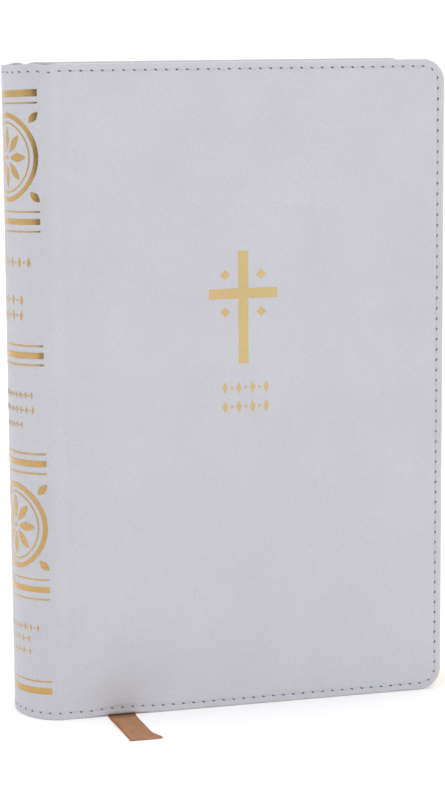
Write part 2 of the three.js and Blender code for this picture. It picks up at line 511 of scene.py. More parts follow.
class Nodes:
    """A short way to lay out a node tree."""

    def __init__(self, tree: bpy.types.NodeTree) -> None:
        """Takes the tree to build in."""
        self.tree = tree

    def add(self, kind: str, **values: object) -> bpy.types.Node:
        """Adds a node.

        Args:
            kind: The node's type without the ShaderNode prefix.
            **values: Properties by their names, and inputs as in_NAME with _ for a space.

        Returns:
            The node.
        """
        node = self.tree.nodes.new("ShaderNode" + kind)
        for key, value in values.items():
            if key.startswith("in_"):
                node.inputs[key[3:].replace("_", " ")].default_value = value
            else:
                setattr(node, key, value)
        return node

    def link(self, out: Socket, into: Socket) -> None:
        """Joins an output to an input."""
        self.tree.links.new(out, into)

    def feed(self, socket: Socket, value: object) -> None:
        """Gives an input its value.

        Args:
            socket: The input.
            value: A number, a colour, or an output to join it to.
        """
        if isinstance(value, Socket):
            self.link(value, socket)
        elif isinstance(value, (int, float)):
            socket.default_value = value
        else:
            socket.default_value = (*value, 1.0)

    def math(self, operation: str, a: object, b: object = 0.0) -> Socket:
        """Works on one or two values.

        Args:
            operation: The math node's operation.
            a: The first value, a number or an output.
            b: The second one.

        Returns:
            The result's output.
        """
        node = self.add("Math", operation=operation)
        for socket, value in zip(node.inputs, (a, b)):
            self.feed(socket, value)
        return node.outputs[0]

    def ramp(self, value: Socket, low: float, high: float) -> Socket:
        """Carries a value from low..high smoothly to 0..1, held at both ends.

        Args:
            value: The value.
            low: Where the result is 0.
            high: Where the result is 1.

        Returns:
            The result's output.
        """
        node = self.add("MapRange", interpolation_type="SMOOTHSTEP", in_From_Min=low, in_From_Max=high)
        self.link(value, node.inputs["Value"])
        return node.outputs["Result"]

    def mix(self, share: object, a: object, b: object) -> Socket:
        """Mixes two colours.

        Args:
            share: How much of b there is, from 0 to 1.
            a: The first colour, or an output.
            b: The second one.

        Returns:
            The colour's output.
        """
        node = self.add("Mix", data_type="RGBA")
        for socket, value in ((node.inputs[0], share), (node.inputs[6], a), (node.inputs[7], b)):
            self.feed(socket, value)
        return node.outputs[2]

    def noise(self, place: Socket, scale: float, detail: float, roughness: float = 0.5) -> Socket:
        """Adds a cloudy pattern.

        Args:
            place: Where the pattern is read.
            scale: How many of its clouds lie in a millimetre.
            detail: How many finer layers it has.
            roughness: How strong they are.

        Returns:
            The pattern's value, from 0 to 1.
        """
        node = self.add("TexNoise", in_Scale=scale, in_Detail=detail, in_Roughness=roughness)
        self.link(place, node.inputs["Vector"])
        return node.outputs["Fac"]

    def wave(self, value: Socket, pitch: float) -> Socket:
        """A sine of a value that comes round once in each pitch."""
        return self.math("SINE", self.math("MULTIPLY", value, 2 * math.pi / pitch))

    def split(self, place: Socket) -> tuple[Socket, Socket, Socket]:
        """Splits a place into its three coordinates.

        Args:
            place: The place.

        Returns:
            The outputs of x, y and z.
        """
        node = self.add("SeparateXYZ")
        self.link(place, node.inputs[0])
        return node.outputs[0], node.outputs[1], node.outputs[2]

    def group(self, tree: bpy.types.NodeTree, place: Socket, **values: float) -> bpy.types.Node:
        """Places a shared effect.

        Args:
            tree: The effect.
            place: Where the effect is read, in millimetres.
            **values: Its other inputs by their names.

        Returns:
            The group's node.
        """
        node = self.tree.nodes.new("ShaderNodeGroup")
        node.node_tree = tree
        self.link(place, node.inputs["Place"])
        for key, value in values.items():
            node.inputs[key].default_value = value
        return node


def effect(
    name: str, inputs: Sequence[tuple[str, str, object]], outputs: Sequence[tuple[str, str]]
) -> tuple[bpy.types.NodeTree, Nodes, bpy.types.Node, bpy.types.Node]:
    """Starts a shared effect: a node group with named sockets.

    Args:
        name: The group's name.
        inputs: (name, socket type, default) of each input.
        outputs: (name, socket type) of each output.

    Returns:
        The tree, its Nodes helper, its input node and its output node.
    """
    tree = bpy.data.node_groups.new(name, "ShaderNodeTree")
    for title, kind, default in inputs:
        socket = tree.interface.new_socket(title, in_out="INPUT", socket_type=kind)
        if default is not None:
            socket.default_value = default
    for title, kind in outputs:
        tree.interface.new_socket(title, in_out="OUTPUT", socket_type=kind)
    return tree, Nodes(tree), tree.nodes.new("NodeGroupInput"), tree.nodes.new("NodeGroupOutput")


FLOAT, VECTOR = "NodeSocketFloat", "NodeSocketVector"


def make_grain() -> bpy.types.NodeTree:
    """Leather grain: small rounded pebbles with creases between them, over slow waves.

    Returns:
        A group from Place (millimetres) and Pebble to Height, Crease, Cloud and rare Marks.
    """
    tree, n, start, end = effect(
        "Leather grain",
        [("Place", VECTOR, None), ("Pebble", FLOAT, 0.6)],
        [("Height", FLOAT), ("Crease", FLOAT), ("Cloud", FLOAT), ("Mark", FLOAT)],
    )
    place = start.outputs["Place"]
    stray = 0.7
    warp = n.add("TexNoise", in_Scale=0.9, in_Detail=2.0)
    n.link(place, warp.inputs["Vector"])
    moved = n.add("VectorMath", operation="MULTIPLY_ADD")
    n.link(warp.outputs["Color"], moved.inputs[0])
    moved.inputs[1].default_value = (stray, stray, stray)
    n.link(place, moved.inputs[2])
    cells = n.add("TexVoronoi", feature="SMOOTH_F1", in_Smoothness=0.35)
    n.link(moved.outputs[0], cells.inputs["Vector"])
    n.link(n.math("DIVIDE", 1.0, start.outputs["Pebble"]), cells.inputs["Scale"])
    crease = n.ramp(cells.outputs["Distance"], 0.32, 0.62)
    pebble = n.math("SUBTRACT", 1.0, crease)
    fine_share = 0.5
    fine = n.math("MULTIPLY", n.noise(place, 5.5, 3.0), fine_share)
    n.link(n.math("ADD", pebble, fine), end.inputs["Height"])
    n.link(crease, end.inputs["Crease"])
    n.link(n.ramp(n.noise(place, 0.035, 3.0, 0.55), 0.3, 0.7), end.inputs["Cloud"])
    n.link(n.ramp(n.noise(place, 0.13, 4.0, 0.75), 0.665, 0.72), end.inputs["Mark"])
    return tree


def make_leaf_lines() -> bpy.types.NodeTree:
    """The edges of thin leaves pressed together, as uneven lines across the block's thickness.

    Returns:
        A group from Place (millimetres) and Leaf to Height and Shade.
    """
    tree, n, start, end = effect(
        "Leaf lines",
        [("Place", VECTOR, None), ("Leaf", FLOAT, 0.12)],
        [("Height", FLOAT), ("Shade", FLOAT)],
    )
    along_leaf, across_leaves = 0.003, 1.0
    stretch = n.add("VectorMath", operation="MULTIPLY")
    stretch.inputs[1].default_value = (along_leaf, across_leaves, along_leaf)
    n.link(start.outputs["Place"], stretch.inputs[0])
    lines = n.add("TexNoise", in_Detail=2.0, in_Roughness=0.8)
    n.link(stretch.outputs[0], lines.inputs["Vector"])
    n.link(n.math("DIVIDE", 0.6, start.outputs["Leaf"]), lines.inputs["Scale"])
    line_share = 0.7
    fine = n.math("MULTIPLY", lines.outputs["Fac"], line_share)
    wide = n.math("MULTIPLY", n.noise(stretch.outputs[0], 1.1, 1.0), 1 - line_share)
    both = n.math("ADD", fine, wide)
    n.link(both, end.inputs["Height"])
    n.link(n.ramp(both, 0.38, 0.62), end.inputs["Shade"])
    return tree


def make_weave() -> bpy.types.NodeTree:
    """Threads that pass over and under each other on a flat cloth.

    Returns:
        A group from Place (millimetres) and Pitch to Height.
    """
    tree, n, start, end = effect(
        "Weave", [("Place", VECTOR, None), ("Pitch", FLOAT, 0.3)], [("Height", FLOAT)]
    )
    x, _, z = n.split(start.outputs["Place"])
    turn = n.math("DIVIDE", math.pi, start.outputs["Pitch"])
    warp = n.math("SINE", n.math("MULTIPLY", x, turn))
    weft = n.math("SINE", n.math("MULTIPLY", z, turn))
    over = n.math("MULTIPLY", warp, weft)
    half = 0.5
    n.link(n.math("MULTIPLY_ADD", over, half), end.inputs["Height"])
    return tree


class Shared:
    """The effects that several finishes use, made once."""

    def __init__(self) -> None:
        """Builds the groups."""
        self.grain = make_grain()
        self.leaf_lines = make_leaf_lines()
        self.weave = make_weave()


class Finish:
    """A material under construction, with its shader and its pattern's place in millimetres."""

    def __init__(self, name: str, attribute: str | None, colour: Colour, **shader: float) -> None:
        """Starts a finish.

        Args:
            name: The material's name.
            attribute: The mesh attribute that patterns follow, or None for object coordinates.
            colour: The shader's plain colour.
            **shader: Values set on the shader's own sockets, with _ for a space.
        """
        self.material = bpy.data.materials.new(name)
        self.material.use_nodes = True
        self.material.diffuse_color = (*colour, 1.0)
        self.nodes = Nodes(self.material.node_tree)
        self.shader = self.material.node_tree.nodes["Principled BSDF"]
        self.shader.inputs["Base Color"].default_value = (*colour, 1.0)
        for key, value in shader.items():
            self.shader.inputs[key.replace("_", " ")].default_value = value
        if attribute:
            source = self.nodes.add("Attribute", attribute_name=attribute).outputs["Vector"]
        else:
            source = self.nodes.add("TexCoord").outputs["Object"]
        scale = self.nodes.add("VectorMath", operation="SCALE")
        self.nodes.link(source, scale.inputs[0])
        scale.inputs["Scale"].default_value = 1 / MM
        self.place = scale.outputs[0]

    def bump(self, height: Socket, depth: float, strength: float) -> None:
        """Raises the surface by a height map.

        Args:
            height: The height map.
            depth: How deep it is, in metres.
            strength: How much of it shows, from 0 to 1.
        """
        node = self.nodes.add("Bump", in_Strength=strength, in_Distance=depth)
        self.nodes.link(height, node.inputs["Height"])
        self.nodes.link(node.outputs[0], self.shader.inputs["Normal"])

    def colour(self, value: Socket) -> None:
        """Feeds the shader's colour."""
        self.nodes.link(value, self.shader.inputs["Base Color"])

    def rough(self, value: Socket, low: float, high: float) -> None:
        """Feeds the shader's roughness.

        Args:
            value: A value from 0 to 1.
            low: The roughness where it is 0.
            high: The roughness where it is 1.
        """
        node = self.nodes.add("MapRange", in_To_Min=low, in_To_Max=high)
        self.nodes.link(value, node.inputs["Value"])
        self.nodes.link(node.outputs["Result"], self.shader.inputs["Roughness"])


@dataclass(frozen=True)
class Leather:
    """Soft bonded leather: fine pebbled grain, faint clouds of tone and darker creases."""

    light: Colour = (0.585, 0.590, 0.630)
    cloud: Colour = (0.560, 0.558, 0.600)
    crease: Colour = (0.475, 0.470, 0.515)
    pebble_mm: float = 0.55
    darkening: float = 0.35
    marked: float = 0.5
    roughness: Pair = (0.46, 0.62)
    swell_share: float = 7.0
    depth: float = 0.03 * MM

    def make(self, shared: Shared) -> Material:
        """Builds the material.

        Args:
            shared: The shared effects.

        Returns:
            The material.
        """
        f = Finish("Soft white leather", "lay", self.light, Roughness=0.5, Specular_IOR_Level=0.35)
        n = f.nodes
        grain = n.group(shared.grain, f.place, Pebble=self.pebble_mm)
        tone = n.mix(grain.outputs["Cloud"], self.light, self.cloud)
        darkening = n.math("MULTIPLY", grain.outputs["Crease"], self.darkening)
        marked = n.math("MULTIPLY", grain.outputs["Mark"], self.marked)
        f.colour(n.mix(n.math("MAXIMUM", darkening, marked), tone, self.crease))
        f.rough(grain.outputs["Crease"], *self.roughness)
        swell = n.math("MULTIPLY", n.noise(f.place, 0.16, 2.0, 0.45), self.swell_share)
        f.bump(n.math("ADD", grain.outputs["Height"], swell), self.depth, 0.6)
        return f.material


@dataclass(frozen=True)
class Foil:
    """Hot-stamped gold: matt metal that follows the leather's grain, with painted shade that can darken it by
    the front joint.
    """

    name: str = "Stamped gold foil"
    gold: Colour = (0.565, 0.428, 0.212)
    # The next colour is the darker gold in the grain's creases.
    crease_gold: Colour = (0.470, 0.338, 0.150)
    roughness: Pair = (0.32, 0.44)
    # The next colour is painted shade for the foil by the front joint, where the spine curves away; None
    # leaves it out.
    joint_shade: Colour | None = None
    pebble_mm: float = 0.5
    darkening: float = 0.45
    # Where that painted shade comes in: across towards the joint, and up from the foot, in millimetres.
    shade_from_joint: Pair = (17.4, 19.6)
    shade_from_foot: Pair = (75.0, 125.0)
    depth: float = 0.02 * MM

    def make(self, shared: Shared) -> Material:
        """Builds the material.

        Args:
            shared: The shared effects.

        Returns:
            The material.
        """
        f = Finish(self.name, "lay", self.gold, Metallic=0.97, Roughness=0.36)
        n = f.nodes
        grain = n.group(shared.grain, f.place, Pebble=self.pebble_mm)
        tone = n.mix(n.math("MULTIPLY", grain.outputs["Crease"], self.darkening), self.gold, self.crease_gold)
        # Painted shade: the foil's colour is darkened towards the front joint, but not near the foot.
        if self.joint_shade:
            x, _, z = n.split(f.place)
            near_joint = n.ramp(x, *self.shade_from_joint)
            off_foot = n.ramp(z, *self.shade_from_foot)
            tone = n.mix(n.math("MULTIPLY", near_joint, off_foot), tone, self.joint_shade)
        f.colour(tone)
        f.rough(grain.outputs["Cloud"], *self.roughness)
        f.bump(grain.outputs["Height"], self.depth, 0.4)
        return f.material


@dataclass(frozen=True)
class GiltEdge:
    """Gold leaf on the cut edges of thin paper."""

    gold: Colour = (0.780, 0.560, 0.250)
    gap: Colour = (0.610, 0.425, 0.180)
    leaf_mm: float = 0.16
    roughness: Pair = (0.52, 0.36)
    depth: float = 0.07 * MM

    def make(self, shared: Shared) -> Material:
        """Builds the material.

        Args:
            shared: The shared effects.

        Returns:
            The material.
        """
        f = Finish("Gilt leaf edges", "lay", self.gold, Metallic=0.8, Roughness=0.4)
        lines = f.nodes.group(shared.leaf_lines, f.place, Leaf=self.leaf_mm)
        f.colour(f.nodes.mix(lines.outputs["Shade"], self.gap, self.gold))
        f.rough(lines.outputs["Shade"], *self.roughness)
        f.bump(lines.outputs["Height"], self.depth, 0.6)
        return f.material


@dataclass(frozen=True)
class Paper:
    """Matt paper with a little fibre and cloud in it."""

    name: str
    light: Colour
    dark: Colour
    attribute: str | None = "lay"
    depth: float = 0.03 * MM

    def make(self) -> Material:
        """Builds the material.

        Returns:
            The material.
        """
        f = Finish(self.name, self.attribute, self.light, Roughness=0.82, Specular_IOR_Level=0.2)
        fibre = f.nodes.noise(f.place, 1.8, 6.0, 0.7)
        f.colour(f.nodes.mix(f.nodes.ramp(fibre, 0.3, 0.7), self.dark, self.light))
        f.bump(fibre, self.depth, 0.5)
        return f.material


@dataclass(frozen=True)
class PrintedPaper:
    """Thin bible paper that carries two columns of small grey rows, too small to be letters."""

    paper: Colour = (0.86, 0.84, 0.78)
    fibre: Colour = (0.80, 0.78, 0.71)
    ink: Colour = (0.30, 0.29, 0.28)
    ink_share: float = 0.55
    row_pitch: float = 3.2
    columns: tuple[Pair, ...] = ((-48.0, 5.0), (11.0, 64.0))
    rows: Pair = (17.0, 214.0)
    depth: float = 0.03 * MM

    @staticmethod
    def between(n: Nodes, value: Socket, ends: Pair) -> Socket:
        """Whether a value is between two ends, as 1 or 0."""
        return n.math("MULTIPLY", n.math("GREATER_THAN", value, ends[0]), n.math("LESS_THAN", value, ends[1]))

    def make(self) -> Material:
        """Builds the material.

        Returns:
            The material.
        """
        f = Finish("Printed bible paper", "lay", self.paper, Roughness=0.8, Specular_IOR_Level=0.2)
        n = f.nodes
        x, _, z = n.split(f.place)
        half = 0.5
        spot = n.add("CombineXYZ")
        n.link(n.math("MULTIPLY", x, half), spot.inputs[0])
        n.link(n.math("FLOOR", n.math("DIVIDE", z, self.row_pitch)), spot.inputs[1])
        words = n.ramp(n.noise(spot.outputs[0], 1.7, 1.0), 0.36, 0.44)
        inked = n.math("MULTIPLY", n.ramp(n.wave(z, self.row_pitch), 0.0, half), words)
        left, right = (self.between(n, x, column) for column in self.columns)
        inside = n.math("MULTIPLY", n.math("ADD", left, right), self.between(n, z, self.rows))
        ink = n.math("MULTIPLY", inside, n.math("MULTIPLY", inked, self.ink_share))
        cloud = n.noise(f.place, 1.8, 6.0, 0.7)
        paper = n.mix(n.ramp(cloud, 0.3, 0.7), self.fibre, self.paper)
        f.colour(n.mix(ink, paper, self.ink))
        f.bump(cloud, self.depth, 0.4)
        return f.material


@dataclass(frozen=True)
class Satin:
    """Double-faced satin ribbon: fine lengthwise floats, firmer woven edges and a painted shadow where it
    runs out under the front cover.
    """

    tan: Colour = (0.445, 0.222, 0.108)
    shade: Colour = (0.365, 0.170, 0.074)
    edge: Colour = (0.330, 0.105, 0.030)
    # The next colour is painted shadow, where the front cover's lower edge shades the ribbon.
    darkening: Colour = (0.205, 0.078, 0.026)
    float_pitch: float = 0.22
    pick_pitch: float = 0.35
    pick_share: float = 0.35
    rim: Pair = (4.2, 4.6)
    # Where that painted shadow fades in and out along the ribbon, in millimetres.
    shadow_in: Pair = (236.3, 241.3)
    shadow_out: Pair = (242.5, 247.3)
    depth: float = 0.02 * MM

    def make(self) -> Material:
        """Builds the material.

        Returns:
            The material.
        """
        f = Finish("Tan satin ribbon", "lay", self.tan, Roughness=0.48, Specular_IOR_Level=0.3)
        f.shader.inputs["Anisotropic"].default_value = 0.5
        n = f.nodes
        across, along, _ = n.split(f.place)
        picks = n.math("MULTIPLY", n.wave(along, self.pick_pitch), self.pick_share)
        cloud = n.ramp(n.noise(f.place, 0.35, 3.0), 0.3, 0.7)
        tone = n.mix(cloud, self.shade, self.tan)
        tone = n.mix(n.ramp(n.math("ABSOLUTE", across), *self.rim), tone, self.edge)
        # Painted shadow: the colour darkens over the stretch where the ribbon runs out under the front cover;
        # press masks that stretch.
        before = n.ramp(along, *self.shadow_in)
        past = n.ramp(along, *self.shadow_out)
        press = n.math("MULTIPLY", before, n.math("SUBTRACT", 1.0, past))
        f.colour(n.mix(press, tone, self.darkening))
        f.bump(n.math("ADD", n.wave(across, self.float_pitch), picks), self.depth, 0.6)
        return f.material


@dataclass(frozen=True)
class Thread:
    """Twisted sewing thread."""

    pale: Colour = (0.66, 0.66, 0.70)
    dark: Colour = (0.50, 0.50, 0.55)
    ply_pitch: float = 0.3
    depth: float = 0.04 * MM

    def make(self) -> Material:
        """Builds the material.

        Returns:
            The material.
        """
        f = Finish("White sewing thread", "lay", self.pale, Roughness=0.6, Sheen_Weight=0.3)
        x, _, z = f.nodes.split(f.place)
        ply = f.nodes.wave(f.nodes.math("ADD", x, z), self.ply_pitch)
        f.colour(f.nodes.mix(f.nodes.ramp(ply, -0.6, 0.8), self.dark, self.pale))
        f.bump(ply, self.depth, 0.6)
        return f.material


@dataclass(frozen=True)
class NeedleHole:
    """The shadowed mouth of a needle hole."""

    dark: Colour = (0.085, 0.080, 0.105)
    rim: Colour = (0.200, 0.195, 0.230)
    pebble_mm: float = 0.4
    depth: float = 0.03 * MM

    def make(self, shared: Shared) -> Material:
        """Builds the material.

        Args:
            shared: The shared effects.

        Returns:
            The material.
        """
        f = Finish("Needle hole", "lay", self.dark, Roughness=0.9, Specular_IOR_Level=0.1)
        grain = f.nodes.group(shared.grain, f.place, Pebble=self.pebble_mm)
        f.colour(f.nodes.mix(grain.outputs["Cloud"], self.dark, self.rim))
        f.bump(grain.outputs["Height"], self.depth, 0.5)
        return f.material


@dataclass(frozen=True)
class BandSilk:
    """Head-band silk, wound in two colours round a core."""

    cream: Colour = (0.80, 0.76, 0.66)
    gold: Colour = (0.62, 0.40, 0.13)
    colour_pitch: float = 2.6
    strand_pitch: float = 0.325
    depth: float = 0.06 * MM

    def make(self) -> Material:
        """Builds the material.

        Returns:
            The material.
        """
        f = Finish("Head-band silk", "lay", self.cream, Roughness=0.5, Sheen_Weight=0.4)
        along, _, _ = f.nodes.split(f.place)
        winding = f.nodes.ramp(f.nodes.wave(along, self.colour_pitch), -0.12, 0.12)
        f.colour(f.nodes.mix(winding, self.cream, self.gold))
        f.bump(f.nodes.wave(along, self.strand_pitch), self.depth, 0.8)
        return f.material


@dataclass(frozen=True)
class Cloth:
    """Open cotton mull, stiff with glue."""

    pale: Colour = (0.74, 0.70, 0.58)
    gap: Colour = (0.46, 0.41, 0.30)
    pitch_mm: float = 0.8
    depth: float = 0.1 * MM

    def make(self, shared: Shared) -> Material:
        """Builds the material.

        Args:
            shared: The shared effects.

        Returns:
            The material.
        """
        f = Finish("Mull cloth", None, self.pale, Roughness=0.9)
        weave = f.nodes.group(shared.weave, f.place, Pitch=self.pitch_mm).outputs["Height"]
        f.colour(f.nodes.mix(f.nodes.ramp(weave, -0.3, 0.3), self.gap, self.pale))
        f.bump(weave, self.depth, 0.8)
        return f.material


class Wardrobe:
    """Every finish on the book, each built once."""

    def __init__(self) -> None:
        """Builds the materials."""
        shared = Shared()
        self.leather = Leather().make(shared)
        self.foil = Foil().make(shared)
        # The spine's foil has painted shade that darkens it towards the front joint.
        self.spine_foil = Foil(
            name="Spine gold foil with painted shade",
            gold=(0.530, 0.345, 0.145),
            crease_gold=(0.400, 0.250, 0.092),
            roughness=(0.18, 0.30),
            joint_shade=(0.300, 0.195, 0.075),
        ).make(shared)
        self.gilt = GiltEdge().make(shared)
        self.page = PrintedPaper().make()
        self.endpaper = Paper("Ivory endpaper", (0.84, 0.82, 0.76), (0.76, 0.73, 0.66)).make()
        self.card = Paper("Grey card", (0.46, 0.41, 0.34), (0.36, 0.31, 0.25), None).make()
        self.lining = Paper("Kraft lining", (0.62, 0.50, 0.35), (0.52, 0.41, 0.27), None).make()
        self.folds = Paper("Glued folds", (0.80, 0.76, 0.66), (0.68, 0.62, 0.50), None).make()
        self.satin = Satin().make()
        self.thread = Thread().make()
        self.hole = NeedleHole().make(shared)
        self.band = BandSilk().make()
        self.mull = Cloth().make(shared)


def dress(piece: Piece, *materials: Material) -> None:
    """Gives a piece its materials.

    Args:
        piece: The piece.
        *materials: The materials in slot order.
    """
    piece.data.materials.clear()
    for material in materials:
        piece.data.materials.append(material)


# ---------------------------------------------------------------- sub-assemblies


@dataclass(frozen=True)
class StitchSizes:
    """One stitch's half sizes, how far its ends dive, and its needle hole's half sizes and slant."""

    length: float = 1.62 * MM
    width: float = 0.27 * MM
    rise: float = 0.2 * MM
    dive: float = 0.16 * MM
    stand: float = 0.02 * MM
    hole: tuple[float, float, float] = (0.60 * MM, 0.10 * MM, 0.31 * MM)
    hole_slant: float = math.radians(28)
    hole_stand: float = 0.03 * MM


@dataclass
class SeamLine:
    """The line of stitches that runs round the case, a little in from its edge."""

    wrap: Wrap
    inset: float = 2.5 * MM
    corner: float = 5.5 * MM
    pitch: float = 3.75 * MM

    @staticmethod
    def straight(u: float, z: float, heading: float) -> Callable[[float], SeamPlace]:
        """Lays out a straight leg.

        Args:
            u: Where it starts round the case.
            z: The height where it starts.
            heading: Where it goes, in radians.

        Returns:
            A rule from a distance along the leg to a seam place.
        """
        du, dz = math.cos(heading), math.sin(heading)
        return lambda d: (u + du * d, z + dz * d, heading)

    def bend(self, u: float, z: float, first: float) -> Callable[[float], SeamPlace]:
        """Lays out a corner's leg, a quarter of a circle.

        Args:
            u: The circle's middle round the case.
            z: The middle's height.
            first: Where the leg starts, as an angle round the middle.

        Returns:
            A rule from a distance along the leg to a seam place.
        """

        def at(d: float) -> SeamPlace:
            """The seam place at a distance along the corner."""
            a = first + d / self.corner
            return u + self.corner * math.cos(a), z + self.corner * math.sin(a), a + SQUARE

        return at

    def walk(self) -> list[SeamPlace]:
        """Spaces the needle holes along the whole line.

        Returns:
            (u, z, heading) of each needle hole, with the heading in radians.
        """
        r = self.corner
        right, low, high = self.wrap.reach - self.inset, self.inset, self.wrap.sizes.height - self.inset
        half, side, quarter = right - r, high - low - 2 * r, r * SQUARE
        legs = (
            (half, self.straight(0, low, 0)),
            (quarter, self.bend(half, low + r, -SQUARE)),
            (side, self.straight(right, low + r, SQUARE)),
            (quarter, self.bend(half, high - r, 0)),
            (2 * half, self.straight(half, high, math.pi)),
            (quarter, self.bend(-half, high - r, SQUARE)),
            (side, self.straight(-right, high - r, -SQUARE)),
            (quarter, self.bend(-half, low + r, math.pi)),
            (half, self.straight(-half, low, 0)),
        )
        total = sum(length for length, _ in legs)
        count = round(total / self.pitch)
        found = []
        for i in range(count):
            d = (i + 0.5) * total / count
            for length, at in legs:
                if d <= length:
                    found.append(at(d))
                    break
                d -= length
        return found


@dataclass(frozen=True)
class SoftEdges:
    """How the case gives: hollows at the joints, slow waves, a sagging head edge and a raised foot."""

    hollow: float = 0.3 * MM
    hollow_at: float = 1.2 * MM
    hollow_width: float = 2.2 * MM
    wave: float = 0.07 * MM
    wave_rates: tuple[float, float, float, float] = (41.0, 37.0, 17.0, 23.0)
    sag: float = 0.5 * MM
    sag_from: float = 5.5 * MM
    sag_run: float = 13 * MM
    back_sag: float = 0.8
    back_run: float = 9 * MM
    dip: float = 0.6 * MM
    dip_at: float = 3.2 * MM
    dip_width: float = 2.3 * MM
    head_run: float = 16 * MM
    ribbon_at: float = -42.6 * MM
    ribbon_half: float = 6.2 * MM
    ribbon_run: float = 7 * MM
    foot_run: float = 14 * MM


@dataclass
class Case:
    """The wrapped leather case: front, spine and back skins, its stitches and its needle holes."""

    sizes: BookSizes
    wrap: Wrap
    finishes: Wardrobe
    stitch: StitchSizes = StitchSizes()
    soft: SoftEdges = SoftEdges()
    corner: float = 8 * MM
    rim: float = 0.75 * MM
    groove: float = 0.12 * MM
    groove_steps: tuple[Pair, ...] = ((1.35, 0), (0.3, -1), (0.36, 0), (0.3, 1), (1.2, -0.1))
    spine_share: float = 0.476
    hinge_zone: float = 4 * MM
    hinge_row: float = 0.9 * MM
    cover_row: float = 4 * MM
    height_row: float = 5.5 * MM

    def thickness_share(self, u: float) -> float:
        """How thick the case is at u, as a share of the cover's own thickness."""
        t = ease((abs(u) - self.wrap.quarter) / self.hinge_zone)
        return self.spine_share + (1 - self.spine_share) * t

    def relax(self, u: float, z: float) -> float:
        """Finds how far in the soft skin lies: hinge hollows and slow unevenness.

        Args:
            u: Distance round the case.
            z: Height.

        Returns:
            The depth in metres.
        """
        soft = self.soft
        off = (abs(u) - self.wrap.quarter - soft.hollow_at) / soft.hollow_width
        a, b, c, d = soft.wave_rates
        slow = math.sin(u * a + 1.3) * math.sin(z * b + 0.4) + 0.6 * math.sin(u * c - z * d)
        return soft.hollow * math.exp(-off * off) + soft.wave * slow

    def lay_on(self, p: Vector, least: float = 0.0) -> Vector:
        """Carries a flat point of the case onto the book.

        Args:
            p: The flat point.
            least: The least depth that it may have.

        Returns:
            The place in the frame's axes.
        """
        u, depth, z = p
        sink = self.relax(u, z) * (1 - depth / self.sizes.cover_thickness)
        rise = self.edge_drop(u, z) + self.low_edge_rise(u, z)
        return self.wrap.place(u, max(least, depth * self.thickness_share(u) + sink), z + rise)

    def lay_on_stitch(self, p: Vector) -> Vector:
        """Carries a stitch's flat point onto the book, however far it stands out."""
        return self.lay_on(p, -math.inf)

    def edge_drop(self, u: float, z: float) -> float:
        """Finds how far the head edge sags over the spine, which no board holds up, and dips at the hinges.

        Args:
            u: Distance round the case.
            z: Height.

        Returns:
            The move along Z, which is never up.
        """
        soft, arc, quarter = self.soft, abs(u), self.wrap.quarter
        dip = (arc - quarter + soft.dip_at) / soft.dip_width
        sag = soft.sag * ease((quarter - soft.sag_from - arc) / soft.sag_run)
        sag *= 1 + soft.back_sag * ease(-u / soft.back_run)
        near_head = ease(1 - (self.sizes.height - z) / soft.head_run)
        return -(sag + soft.dip * math.exp(-dip * dip)) * near_head

    def low_edge_rise(self, u: float, z: float) -> float:
        """Finds how far the front cover's soft lower edge rises where the ribbon runs out under it.

        Args:
            u: Distance round the case.
            z: Height.

        Returns:
            The move along Z.
        """
        x = u - self.wrap.quarter + self.sizes.hinge_x
        off = (abs(x - self.soft.ribbon_at) - self.soft.ribbon_half) / self.soft.ribbon_run
        return self.sizes.lift * (1 - ease(off)) * ease(1 - z / self.soft.foot_run) if u > 0 else 0.0

    def flat_blank(self) -> Piece:
        """Models the whole case flat: rounded corners, soft rim and a stitching groove.

        Returns:
            The flat blank.
        """
        s, reach = self.sizes, self.wrap.reach
        blank = Bench.block("blank", (-reach, 0, 0), (reach, s.cover_thickness, s.height))
        Bench.round_edges(blank, along_y, self.corner, 10)
        Bench.round_edges(blank, lambda a, b: abs(a.y - b.y) < SAME, self.rim, 4)
        for outward in (-1, 1):
            Bench.pick_faces(blank, lambda c, n, o=outward: n.y * o > 0.99)
            for width, rise in self.groove_steps:
                bpy.ops.mesh.inset(thickness=width * MM, depth=rise * self.groove)
            Bench.done()
        hinge_end = self.wrap.quarter + self.hinge_zone + 2 * MM
        near = spread(-hinge_end, hinge_end, self.hinge_row)
        far = spread(hinge_end, reach - self.corner, self.cover_row)
        Bench.slice(blank, 0, [*near, *far, *[-u for u in far]])
        Bench.slice(blank, 2, spread(self.corner, s.height - self.corner, self.height_row))
        return blank

    def skins(self) -> list[Piece]:
        """Cuts the blank at the hinges and wraps the three skins.

        Returns:
            The front, back and spine skins.
        """
        q = self.wrap.quarter
        whole = self.flat_blank()
        front = Bench.copy(whole, "front_skin")
        Bench.trim(front, 0, q, keep_high=True)
        back = Bench.copy(whole, "back_skin")
        Bench.trim(back, 0, -q, keep_high=False)
        spine = Bench.copy(whole, "spine_skin")
        Bench.trim(spine, 0, -q, keep_high=True)
        Bench.trim(spine, 0, q, keep_high=False)
        bpy.data.objects.remove(whole)
        for piece in (front, back, spine):
            Bench.note_places(piece)
            Bench.shape(piece, self.lay_on)
            Bench.smooth(piece, 35)
            dress(piece, self.finishes.leather)
        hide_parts("front_cover_leather")
        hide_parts("back_cover_leather")
        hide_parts("spine_leather")
        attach(spine, "binding")
        self.bend(front, Side.FRONT)
        self.bend(back, Side.BACK)
        return [front, back, spine]

    def bend(self, piece: Piece, side: Side) -> None:
        """Bakes a cover's piece's place into its mesh and works out the hinge strip's two ends, which go
        unused.

        Args:
            piece: The piece.
            side: Its cover.
        """
        s = self.sizes
        y = -side.value * s.face_y
        start, end = (s.hinge_x, y, 0), (s.hinge_x + self.hinge_zone, y, 0)
        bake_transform(piece)
        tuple(start)
        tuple(end)

